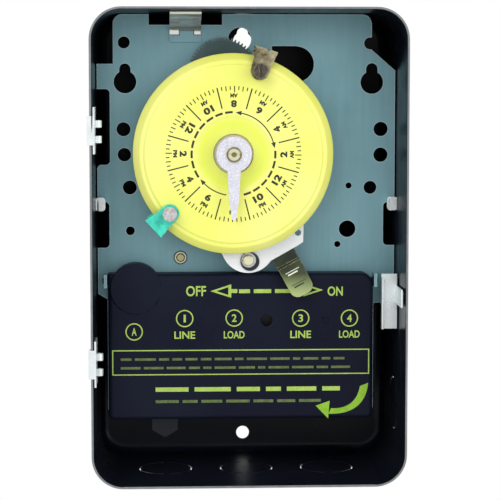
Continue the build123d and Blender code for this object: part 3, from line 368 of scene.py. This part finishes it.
def meshFrom(name, points, faces, smooth=True):
    mesh = bpy.data.meshes.new(name)
    mesh.from_pydata(np.asarray(points).reshape(-1, 3).tolist(), [], np.asarray(faces).tolist())
    mesh.update()
    if smooth:
        mesh.polygons.foreach_set("use_smooth", np.ones(len(mesh.polygons), bool))
    return mesh


def gridFaces(rows, columns, closeRows, closeColumns):
    # four-sided faces between neighbours on a grid that may close on itself either way
    i = np.arange(rows if closeRows else rows - 1)
    j = np.arange(columns if closeColumns else columns - 1)
    i, j = np.meshgrid(i, j, indexing="ij")
    nextI = (i + 1) % rows
    nextJ = (j + 1) % columns
    corners = (i * columns + j, i * columns + nextJ, nextI * columns + nextJ, nextI * columns + j)
    return np.stack(corners, axis=-1).reshape(-1, 4)


def turnedSurface(name, radii, depths, centre, steps):
    # a closed outline of radius and depth, carried round an axis along Y
    angle = np.linspace(0, 2 * np.pi, steps, endpoint=False)
    r = np.repeat(np.asarray(radii)[:, None], steps, axis=1)
    y = np.repeat(np.asarray(depths)[:, None], steps, axis=1)
    a = np.repeat(angle[None, :], len(radii), axis=0)
    points = np.stack((centre[0] + r * np.cos(a), y, centre[1] + r * np.sin(a)), axis=-1)
    mesh = meshFrom(name, points, gridFaces(len(radii), steps, True, True))
    return outwardMesh(mesh)


def outwardMesh(mesh):
    bm = bmesh.new()
    bm.from_mesh(mesh)
    bmesh.ops.recalc_face_normals(bm, faces=bm.faces)
    bm.to_mesh(mesh)
    bm.free()
    return mesh


def roundedOutline(corners, radius, steps=5):
    # each corner of a closed outline gives way to an arc: points on a quadratic curve through it
    corners = np.asarray(corners, float)
    before = np.roll(corners, 1, axis=0) - corners
    after = np.roll(corners, -1, axis=0) - corners
    lengthBefore = np.linalg.norm(before, axis=1, keepdims=True)
    lengthAfter = np.linalg.norm(after, axis=1, keepdims=True)
    cut = np.minimum(np.minimum(lengthBefore, lengthAfter) * 0.45, np.asarray(radius).reshape(-1, 1))
    start = corners + before / lengthBefore * cut
    end = corners + after / lengthAfter * cut
    t = np.linspace(0, 1, steps)[None, :, None]
    curve = (1 - t) ** 2 * start[:, None] + 2 * t * (1 - t) * corners[:, None] + t ** 2 * end[:, None]
    return curve.reshape(-1, 2)


edgeLooks = {
    "case_shell": (0.30, 3), "insulator": (0.35, 3), "bridge_plate": (0.12, 2),
    "manual_lever": (0.16, 2), "tripper_on": (0.16, 2), "tripper_off": (0.16, 2),
    "door_latch": (0.15, 2), "latch_base": (0.15, 2), "release_clip": (0.12, 2),
    "hinge_clip_upper": (0.15, 2), "hinge_clip_lower": (0.15, 2), "clip_anchor": (0.15, 2),
    "pointer_screw": (0.15, 3), "bridge_screw": (0.15, 3), "ground_screw": (0.15, 3),
    "block_screws": (0.15, 3), "terminal_screws": (0.15, 3), "motor_screws": (0.15, 3),
    "plate_rivets": (0.2, 3), "latch_rivets": (0.15, 3), "terminal_block": (0.3, 2),
    "motor_gearbox": (0.4, 3), "motor_can": (0.8, 4), "motor_stator": (0.15, 2), "motor_coil": (0.4, 3),
    "dial_hub": (0.2, 2), "centre_post": (0.12, 2), "dial_bush": (0.1, 2), "time_wheel": (0.05, 1),
    "dial_gear": (0.05, 1), "wheel_pinion": (0.04, 1), "motor_pinion": (0.04, 1),
    "wheel_arbor": (0.1, 2), "lever_shaft": (0.15, 2), "trip_arm": (0.12, 2), "switch_cam": (0.15, 2),
    "contact_lifter": (0.2, 2), "detent_spring": (0.06, 1), "contact_blade_left": (0.08, 1),
    "contact_blade_right": (0.08, 1), "line_terminal_left": (0.12, 2), "line_terminal_right": (0.12, 2),
    "load_terminal_left": (0.12, 2), "load_terminal_right": (0.12, 2), "clock_terminal": (0.12, 2),
    "arbor_clip": (0.06, 1),
}


finish = {"merge": 2e-6, "flat": 0.8, "sharp": 32, "bevelled": 35}


def finishedCopy(node, width, segments):
    # the node's own surface, merged and with its flats joined up, then its sharp edges rounded
    mesh = frame["nodes"][node].data.copy()
    bm = bmesh.new()
    bm.from_mesh(mesh)
    bmesh.ops.remove_doubles(bm, verts=bm.verts, dist=finish["merge"])
    flat = math.radians(finish["flat"])
    bmesh.ops.dissolve_limit(bm, angle_limit=flat, verts=bm.verts, edges=bm.edges, delimit={"NORMAL"})
    bm.to_mesh(mesh)
    bm.free()
    mesh.polygons.foreach_set("use_smooth", np.ones(len(mesh.polygons), bool))
    mesh.set_sharp_from_angle(angle=math.radians(finish["sharp"]))
    obj = addPiece(node + "_finished", mesh, bodyOf[node], slotOf[node])
    bevel = obj.modifiers.new("edges", "BEVEL")
    bevel.width = width * mm
    bevel.segments = segments
    bevel.limit_method = "ANGLE"
    bevel.angle_limit = math.radians(finish["bevelled"])
    bevel.harden_normals = True
    bevel.use_clamp_overlap = False
    bevel.miter_outer = "MITER_ARC"
    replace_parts(obj, node)
    return obj


finished = {node: finishedCopy(node, *edge) for node, edge in edgeLooks.items()}
finished["plate_rivets"].data.materials[0] = materials["eyelet"]
# the pointer screw takes the brass look with its painted highlight
finished["pointer_screw"].data.materials[0] = materials["postScrewPaintedHighlight"]
print("finished copies:", len(finished))


# case: grey outside and on the rim, the inside painted near-black as painted shade of the hollow, and one lug
# left bright

casePaint = {"skin": 0.3 * mm, "lugLow": 0.0135, "lugHigh": 0.0202, "lugFront": -0.0418, "lugBack": -0.0381,
             "lugWall": 0.0618}


def paintCase(obj):
    mesh = obj.data
    mesh.materials.append(materials["insidePaintedShade"])
    count = len(mesh.polygons)
    centres = np.zeros(count * 3)
    normals = np.zeros(count * 3)
    mesh.polygons.foreach_get("center", centres)
    mesh.polygons.foreach_get("normal", normals)
    centres = centres.reshape(-1, 3)
    normals = normals.reshape(-1, 3)
    low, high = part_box("case_shell")
    middle = np.array([(low.x + high.x) / 2, low.y, (low.z + high.z) / 2])
    inward = ((middle - centres) * normals).sum(axis=1) > 0
    atRim = centres[:, 1] < low.y + casePaint["skin"]
    behind = centres[:, 1] > high.y - casePaint["skin"]
    lug = casePaint["lugLow"] < centres[:, 2]
    lug &= centres[:, 2] < casePaint["lugHigh"]
    lug &= (centres[:, 1] > casePaint["lugFront"]) & (centres[:, 1] < casePaint["lugBack"])
    lug &= np.abs(centres[:, 0]) < casePaint["lugWall"]
    # inward faces off the rim and the back take the near-black painted shade
    index = (inward & ~atRim & ~behind).astype(np.int32)
    mesh.materials.append(materials["bright_zinc"])
    mesh.polygons.foreach_set("material_index", np.where(lug, 2, index))


paintCase(finished["case_shell"])


# dial: the spun outline with its corners rounded, turned about the post

dialShape = {"radii": (8.06, 14.5, 16.0, 36.0, 36.6, 38.0, 40.85),
             "fall": (1.2, 1.2, 0.7, 0.0, 0.5, 0.6, 2.95),
             "sheet": 1.0, "round": 0.35, "steps": 288}


def makeDial():
    radii = np.array(dialShape["radii"])
    depth = dialFront + np.array(dialShape["fall"]) * mm
    face = np.stack((radii * mm, depth), axis=-1)
    behind = face[::-1] + np.array([0.0, dialShape["sheet"] * mm])
    outline = roundedOutline(np.concatenate((face, behind)), dialShape["round"] * mm)
    mesh = turnedSurface("dialSpun", outline[:, 0], outline[:, 1], dialPlace, dialShape["steps"])
    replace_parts(addPiece("dialSpun", mesh, bodyOf["dial"], "dial_yellow"), "dial")


makeDial()
print("dial made")


# pointer: a round hub that runs into an arm with a narrow rounded tip

pointerShape = {"hub": 7.15, "root": 2.7, "waist": 2.0, "waistAt": -18.5, "tip": 0.9, "tipSteps": 9,
                "reach": 26.6, "edge": 0.14, "steps": 56}


def slab(name, outline, front, back):
    # a flat outline in X and Z carried from one depth to another, with a face on each end
    count = len(outline)
    ends = [np.insert(outline, 1, depth, axis=1) for depth in (front, back)]
    mesh = bpy.data.meshes.new(name)
    sides = gridFaces(2, count, False, True).tolist()
    caps = [list(range(count)), list(range(count, 2 * count))]
    mesh.from_pydata(np.concatenate(ends).tolist(), [], sides + caps)
    mesh.update()
    return outwardMesh(mesh)


def softEdges(obj, width, segments=2):
    bevel = obj.modifiers.new("edges", "BEVEL")
    bevel.width = width * mm
    bevel.segments = segments
    bevel.limit_method = "ANGLE"
    bevel.angle_limit = math.radians(50)


def makePointer():
    hub, root = pointerShape["hub"], pointerShape["root"]
    start = np.arcsin(root / hub)
    turn = np.linspace(-np.pi / 2 + start, 1.5 * np.pi - start, pointerShape["steps"])
    circle = hub * np.stack((np.cos(turn), np.sin(turn)), axis=-1)
    tip = np.linspace(np.pi, 2 * np.pi, pointerShape["tipSteps"])
    end = pointerShape["tip"]
    point = np.stack((end * np.cos(tip), -(pointerShape["reach"] - end) + end * np.sin(tip)), axis=-1)
    waist = np.array([(-pointerShape["waist"], pointerShape["waistAt"])])
    outline = np.concatenate((circle, waist, point, waist * (-1, 1)))
    low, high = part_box("pointer")
    mesh = slab("pointerPlate", outline * mm + dialPlace, low.y, high.y)
    obj = addPiece("pointerPlate", mesh, bodyOf["pointer"], "pointer_silver")
    softEdges(obj, pointerShape["edge"])
    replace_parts(obj, "pointer")


makePointer()


washerShape = {"outer": 3.9, "inner": 3.05, "shift": (-0.5, 0.5), "steps": 72}


def makeWasher():
    # a crescent: four circles, two on each side, joined up into one closed ring of uneven width
    low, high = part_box("spring_washer")
    centre = np.array([(low.x + high.x) / 2, (low.z + high.z) / 2])
    turn = np.linspace(0, 2 * np.pi, washerShape["steps"], endpoint=False)
    way = np.stack((np.cos(turn), np.sin(turn)), axis=-1)
    outer = centre + way * washerShape["outer"] * mm
    inner = centre + (np.array(washerShape["shift"]) + way * washerShape["inner"]) * mm
    rows = [np.insert(flat, 1, depth, axis=1) for flat, depth in
            ((outer, low.y), (inner, low.y), (inner, high.y), (outer, high.y))]
    mesh = meshFrom("washerCrescent", np.stack(rows), gridFaces(4, washerShape["steps"], True, True), False)
    obj = addPiece("washerCrescent", outwardMesh(mesh), bodyOf["spring_washer"], "dark_spring")
    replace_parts(obj, "spring_washer")


makeWasher()
print("pointer and washer made")


# spring: a wire wound on a cone, which the pulled dial squashes against the pointer

springShape = {"back": 5.6, "front": 4.62, "wire": 0.25, "turns": 2.0, "along": 150, "round": 12, "keep": 0.2}


def makeSpring():
    low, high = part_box("dial_spring")
    wire = springShape["wire"] * mm
    t = np.linspace(0, 1, springShape["along"])[:, None]
    u = np.linspace(0, 2 * np.pi, springShape["round"], endpoint=False)[None, :]
    turn = 2 * np.pi * springShape["turns"] * t
    radius = (springShape["back"] + (springShape["front"] - springShape["back"]) * t) * mm + wire * np.cos(u)
    depth = high.y - wire + (low.y - high.y + 2 * wire) * t + wire * np.sin(u)
    x = dialPlace[0] + radius * np.cos(turn)
    z = dialPlace[1] + radius * np.sin(turn)
    points = np.stack((x, depth, z), axis=-1)
    faces = gridFaces(springShape["along"], springShape["round"], False, True).tolist()
    last = (springShape["along"] - 1) * springShape["round"]
    caps = [list(range(springShape["round"])), [last + corner for corner in range(springShape["round"])]]
    mesh = bpy.data.meshes.new("springWire")
    mesh.from_pydata(points.reshape(-1, 3).tolist(), [], faces + caps)
    mesh.update()
    mesh.polygons.foreach_set("use_smooth", np.ones(len(mesh.polygons), bool))
    obj = addPiece("springWire", outwardMesh(mesh), bodyOf["dial_spring"], "dark_spring")
    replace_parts(obj, "dial_spring")
    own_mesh(obj)


makeSpring()
print("spring made")


# print: flat shapes laid just in front of a face; each shape is points in millimetres and faces

def quad(a, b, c, d):
    return np.array([a, b, c, d], float), [(0, 1, 2, 3)]


def bar(left, right, low, high):
    return quad((left, low), (right, low), (right, high), (left, high))


def band(outer, inner):
    # a closed strip between two outlines of the same number of corners
    count = len(outer)
    i = np.arange(count)
    j = (i + 1) % count
    return np.concatenate((outer, inner)), np.stack((i, j, j + count, i + count), axis=-1).tolist()


def letters(text, left, right, low, high, weight=0.02):
    # the words as flat faces, stretched to fill a box
    curve = bpy.data.curves.new("letters", "FONT")
    curve.body = text
    curve.offset = weight
    curve.resolution_u = 4
    holder = bpy.data.objects.new("letters", curve)
    bpy.context.scene.collection.objects.link(holder)
    bpy.context.view_layer.update()
    mesh = bpy.data.meshes.new_from_object(holder)
    flat = np.zeros(len(mesh.vertices) * 3)
    mesh.vertices.foreach_get("co", flat)
    faces = [tuple(face.vertices) for face in mesh.polygons]
    bpy.data.objects.remove(holder)
    bpy.data.meshes.remove(mesh)
    points = flat.reshape(-1, 3)[:, :2]
    least = points.min(axis=0)
    span = points.max(axis=0) - least
    return (points - least) / span * (right - left, high - low) + (left, low), faces


barRow = {"shortest": 3.0, "longest": 9.0, "gap": 1.3, "most": 60}


def plainBars(left, right, low, high, seed, size):
    # a row of plain bars of uneven length, as many as fit between left and right
    source = np.random.default_rng(seed)
    lengths = source.uniform(barRow["shortest"], barRow["longest"], barRow["most"]) * size
    gap = barRow["gap"] * size
    ends = left + np.cumsum(lengths + gap) - gap
    inside = ends <= right
    return [bar(start, end, low, high) for start, end in zip((ends - lengths)[inside], ends[inside])]


def around(shape, angle, radius, centre):
    # turned so that its top points at the centre, and set out at a radius
    points, faces = shape
    turn = np.radians(angle)
    out = np.array([np.cos(turn), np.sin(turn)])
    right = np.array([-np.sin(turn), np.cos(turn)])
    return np.asarray(centre) + out * radius + points[:, :1] * right - points[:, 1:] * out, faces


def printPiece(name, shapes, depthAt, body, ink):
    points = []
    faces = []
    count = 0
    for flat, shapeFaces in shapes:
        points.append(flat)
        faces.extend(tuple(corner + count for corner in face) for face in shapeFaces)
        count += len(flat)
    flat = np.concatenate(points) * mm
    placed = np.stack((flat[:, 0], depthAt(flat), flat[:, 1]), axis=-1)
    mesh = bpy.data.meshes.new(name)
    mesh.from_pydata(placed.tolist(), [], faces)
    mesh.update()
    addPiece(name, mesh, body, ink)


# dial print: quarter-hour ticks, hour lines, hours, halves of the day, plain bars and the two arrows

dialInk = {
    "lift": 0.02, "weight": 0.055, "first": 74.1,
    "ticks": 96, "tick": 0.42, "tickInner": (25.0, 26.0, 25.6, 26.0), "tickOuter": (27.6, 27.5),
    "hours": (8, 6, 4, 2, 12, 10, 8, 6, 4, 2, 12, 10), "hourStep": 30, "hoursAt": 89.5,
    "line": 0.52, "lineInner": 18.9, "lineOuter": 27.5,
    "hourRadius": 20.4, "hourHigh": 2.9, "thinHalf": 1.2, "wideHalf": 2.15,
    "morning": (0, 1, 2, 3, 4, 11), "dayRadius": 23.7, "dayHigh": 1.7, "dayHalf": 1.5,
    "arcRadius": 16.85, "arcWide": 0.46, "arcs": ((83.0, 12.0), (260.0, 221.0)),
    "barRadius": 17.0, "barHigh": 0.9, "barRuns": ((91.0, 209.0), (284.0, 362.0)),
    "barStep": 14.0, "barTurn": 10.5,
}
dialAt = np.array(dialPlace) / mm


def onDial(flat):
    # depth of the shallow cone between the dish and the step, at each place
    r = np.hypot(flat[:, 0] - dialPlace[0], flat[:, 1] - dialPlace[1]) / mm
    fall = np.interp(r, dialShape["radii"], dialShape["fall"])
    return dialFront + (fall - dialInk["lift"]) * mm


def ring(angle, inner, outer, width):
    # a short line that points at the middle of the dial
    half = (outer - inner) / 2
    return around(bar(-width / 2, width / 2, -half, half), angle, (inner + outer) / 2, dialAt)


def arcBand(start, end, radius, width, steps=40):
    turn = np.radians(np.linspace(start, end, steps))
    way = np.stack((np.cos(turn), np.sin(turn)), axis=-1)
    outer = dialAt + way * (radius + width / 2)
    inner = dialAt + way * (radius - width / 2)
    i = np.arange(steps - 1)
    faces = np.stack((i, i + 1, i + 1 + steps, i + steps), axis=-1)
    return np.concatenate((outer, inner)), faces[:, ::-1].tolist()


def arrowHead(angle, radius, spin, length=2.4, half=0.95):
    turn = np.radians(angle)
    out = np.array([np.cos(turn), np.sin(turn)])
    along = np.array([-np.sin(turn), np.cos(turn)]) * spin
    tip = dialAt + out * radius + along * length * 0.5
    back = dialAt + out * radius - along * length * 0.5
    points = np.array([tip, back + out * half, back - out * half])
    return points, [(0, 1, 2) if spin > 0 else (0, 2, 1)]


def makeDialPrint():
    shapes = []
    first = dialInk["first"]
    for k in range(dialInk["ticks"]):
        inner = dialInk["tickInner"][k % 4]
        outer = dialInk["tickOuter"][k % 2]
        shapes.append(ring(first + 360 / dialInk["ticks"] * k, inner, outer, dialInk["tick"]))
    high = dialInk["hourHigh"] / 2
    dayHigh = dialInk["dayHigh"] / 2
    dayHalf = dialInk["dayHalf"]
    weight = dialInk["weight"]
    step = dialInk["hourStep"]
    for k, hour in enumerate(dialInk["hours"]):
        shapes.append(ring(first + step * k, dialInk["lineInner"], dialInk["lineOuter"], dialInk["line"]))
        angle = dialInk["hoursAt"] - step * k
        half = dialInk["wideHalf"] if hour > 9 else dialInk["thinHalf"]
        figure = letters(str(hour), -half, half, -high, high, weight)
        shapes.append(around(figure, angle, dialInk["hourRadius"], dialAt))
        word = "AM" if k in dialInk["morning"] else "PM"
        figure = letters(word, -dayHalf, dayHalf, -dayHigh, dayHigh, weight)
        shapes.append(around(figure, angle, dialInk["dayRadius"], dialAt))
    for start, end in dialInk["arcs"]:
        shapes.append(arcBand(start, end, dialInk["arcRadius"], dialInk["arcWide"]))
        shapes.append(arrowHead(end, dialInk["arcRadius"], -1))
    shapes.append(arrowHead(dialInk["arcs"][0][0], dialInk["arcRadius"], 1))
    for start, end in dialInk["barRuns"]:
        for angle in np.arange(start, end, dialInk["barStep"]):
            last = angle + dialInk["barTurn"]
            shapes.append(arcBand(last, angle, dialInk["barRadius"], dialInk["barHigh"]))
    printPiece("dialPrint", shapes, onDial, bodyOf["dial"], "inkBlack")


makeDialPrint()
print("dial printed")


# cover print: the ends of the lever's travel, the terminals' marks, plain bars and a plain frame

coverInk = {
    "lift": 0.03, "off": (-25.4, -17.2, -20.7, -16.4), "on": (33.0, 39.3, -20.8, -16.9),
    "offArrow": (-15.4, -6.8, -21.4, -15.8), "onArrow": (31.1, 23.0, -21.0, -15.7), "arrowWall": 0.42,
    "offShaft": (-6.8, -4.3, -19.4, -17.8),
    "ringRadius": 3.6, "ringWide": 0.5, "ringSteps": 48,
    "rings": (("A", -46.8, -35.3), ("1", -26.0, -29.9), ("2", -5.6, -29.8),
              ("3", 21.9, -30.0), ("4", 42.1, -30.1)),
    "markHalf": 1.0, "thinMarkHalf": 0.45, "markHalfHigh": 1.6,
    "labels": (("LINE", -26.0), ("LOAD", -5.6), ("LINE", 21.9), ("LOAD", 42.1)),
    "labelRow": (-38.3, -35.2), "labelHalf": 4.3,
    "frame": (-55.9, 50.4, -53.4, -42.9), "frameWide": 0.45,
    "leverBars": (-3.6, 20.0, -19.5, -17.9, 11, 1.2),
    "faintBars": ((-52.4, 46.2, -47.3, -46.3, 12, 1.0), (-52.4, 46.2, -50.9, -49.9, 13, 1.0),
                  (-38.1, 31.7, -65.0, -63.8, 14, 1.2)),
    "broadBars": (-38.1, 41.0, -60.3, -58.5, 15, 1.9),
}


def onCover(flat):
    return np.full(len(flat), coverFace - coverInk["lift"] * mm)


def hollowArrow(tip, back, low, high):
    outer = np.array([(tip, (low + high) / 2), (back, high), (back, low)])
    if tip > back:
        outer = outer[::-1]
    middle = outer.mean(axis=0)
    return band(outer, middle + (outer - middle) * (1 - coverInk["arrowWall"]))


def ringedMark(mark, x, z):
    turn = np.linspace(0, 2 * np.pi, coverInk["ringSteps"], endpoint=False)
    circle = np.stack((np.cos(turn), np.sin(turn)), axis=-1)
    centre = np.array([x, z])
    outer = centre + circle * coverInk["ringRadius"]
    inner = centre + circle * (coverInk["ringRadius"] - coverInk["ringWide"])
    half = coverInk["thinMarkHalf"] if mark == "1" else coverInk["markHalf"]
    high = coverInk["markHalfHigh"]
    return [band(outer, inner), letters(mark, x - half, x + half, z - high, z + high)]


def makeCoverPrint():
    green = [letters("OFF", *coverInk["off"]), letters("ON", *coverInk["on"])]
    green.append(hollowArrow(*coverInk["offArrow"]))
    green.append(bar(*coverInk["offShaft"]))
    green.append(hollowArrow(*coverInk["onArrow"]))
    for place in coverInk["rings"]:
        green.extend(ringedMark(*place))
    half = coverInk["labelHalf"]
    for word, x in coverInk["labels"]:
        green.append(letters(word, x - half, x + half, *coverInk["labelRow"]))
    left, right, low, high = coverInk["frame"]
    outer = np.array([(left, low), (right, low), (right, high), (left, high)])
    inner = outer + coverInk["frameWide"] * np.array([(1, 1), (-1, 1), (-1, -1), (1, -1)])
    green.append(band(outer, inner))
    green.extend(plainBars(*coverInk["leverBars"]))
    printPiece("coverPrint", green, onCover, bodyOf["insulator"], "inkGreen")
    faint = [shape for row in coverInk["faintBars"] for shape in plainBars(*row)]
    printPiece("coverBars", faint, onCover, bodyOf["insulator"], "inkFaint")
    broad = plainBars(*coverInk["broadBars"])
    printPiece("coverRow", broad, onCover, bodyOf["insulator"], "inkGreen")


makeCoverPrint()


liftArrow = {"outer": ((50.0, -57.2), (49.3, -66.0), (43.5, -70.6), (33.5, -70.0)),
             "inner": ((46.6, -58.5), (45.5, -65.6), (40.5, -68.2), (34.6, -67.7)), "steps": 24,
             "head": ((28.2, -66.6), (34.0, -64.6), (33.4, -72.0))}


def makeLiftArrow():
    # a band between two cubic curves, each point a weighted sum of four corners, with a plain head
    t = np.linspace(0, 1, liftArrow["steps"])[:, None]
    weights = np.concatenate(((1 - t) ** 3, 3 * t * (1 - t) ** 2, 3 * t ** 2 * (1 - t), t ** 3), axis=1)
    outer = weights @ np.array(liftArrow["outer"])
    inner = weights @ np.array(liftArrow["inner"])
    steps = liftArrow["steps"]
    i = np.arange(steps - 1)
    faces = np.stack((i, i + steps, i + 1 + steps, i + 1), axis=-1).tolist()
    shapes = [(np.concatenate((outer, inner)), faces), (np.array(liftArrow["head"], float), [(0, 2, 1)])]
    printPiece("liftArrow", shapes, onCover, bodyOf["insulator"], "inkLeaf")


makeLiftArrow()
print("cover printed")


# lever: two short pairs of plain bars across its front, one bright and one dark

leverInk = {"pivot": (8.3, 8.5), "angle": -62.0, "bright": 21.6, "dark": 27.2, "lift": 0.02,
            "bars": ((-3.1, 3.1, 0.7, 1.0), (-2.5, 1.9, -0.5, 0.1))}


def onLever(flat):
    return np.full(len(flat), frontOf("manual_lever") - leverInk["lift"] * mm)


def makeLeverMarks():
    for name, key, ink in (("leverBright", "bright", "inkWhite"), ("leverDark", "dark", "inkBlack")):
        placed = []
        for sizes in leverInk["bars"]:
            placed.append(around(bar(*sizes), leverInk["angle"], leverInk[key], leverInk["pivot"]))
        printPiece(name, placed, onLever, bodyOf["manual_lever"], ink)


makeLeverMarks()
print("lever marked")


# stage: white surroundings, two soft lights, and a camera almost straight in front

camera = {"away": 0.760, "azimuth": -2.8, "elevation": 5.0, "lens": 136.4,
          "sensor": 36.0, "clip": 0.01, "target": (0.0, -0.068, 0.0)}
studio = {"world": 1.0, "glow": 0.80, "target": (0.0, -0.04, 0.0),
          "lights": (("keyLight", (-0.55, -1.1, 0.75), (0.9, 0.9), 6.0),
                     ("fillLight", (0.8, -0.9, 0.25), (0.7, 0.9), 3.0))}


def addLight(name, place, size, power):
    light = bpy.data.lights.new(name, "AREA")
    light.shape = "RECTANGLE"
    light.size, light.size_y = size
    light.energy = power
    obj = bpy.data.objects.new(name, light)
    obj.location = place
    obj.rotation_euler = (Vector(studio["target"]) - Vector(place)).to_track_quat("-Z", "Y").to_euler()
    bpy.context.scene.collection.objects.link(obj)


def addCamera():
    azimuth = math.radians(camera["azimuth"])
    elevation = math.radians(camera["elevation"])
    level = math.cos(elevation)
    back = Vector((math.sin(azimuth) * level, -math.cos(azimuth) * level, math.sin(elevation)))
    target = Vector(camera["target"])
    data = bpy.data.cameras.new("camera")
    data.lens = camera["lens"]
    data.sensor_width = camera["sensor"]
    data.clip_start = camera["clip"]
    obj = bpy.data.objects.new("camera", data)
    obj.location = target + back * camera["away"]
    obj.rotation_euler = (-back).to_track_quat("-Z", "Y").to_euler()
    bpy.context.scene.collection.objects.link(obj)
    bpy.context.scene.camera = obj


def addWorld():
    world = bpy.data.worlds.new("studio")
    world.use_nodes = True
    world.node_tree.nodes["Background"].inputs["Color"].default_value = (1, 1, 1, 1)
    # the white that the camera sees behind the object is brighter than the light it gives
    tree = world.node_tree
    seen = tree.nodes.new("ShaderNodeLightPath")
    strength = addNode(tree, "ShaderNodeMapRange", To_Min=studio["glow"], To_Max=studio["world"])
    tree.links.new(seen.outputs["Is Camera Ray"], strength.inputs["Value"])
    tree.links.new(strength.outputs["Result"], tree.nodes["Background"].inputs["Strength"])
    bpy.context.scene.world = world
    bpy.context.scene.view_settings.view_transform = "Standard"


for light in studio["lights"]:
    addLight(*light)
addCamera()
addWorld()
print("stage set")
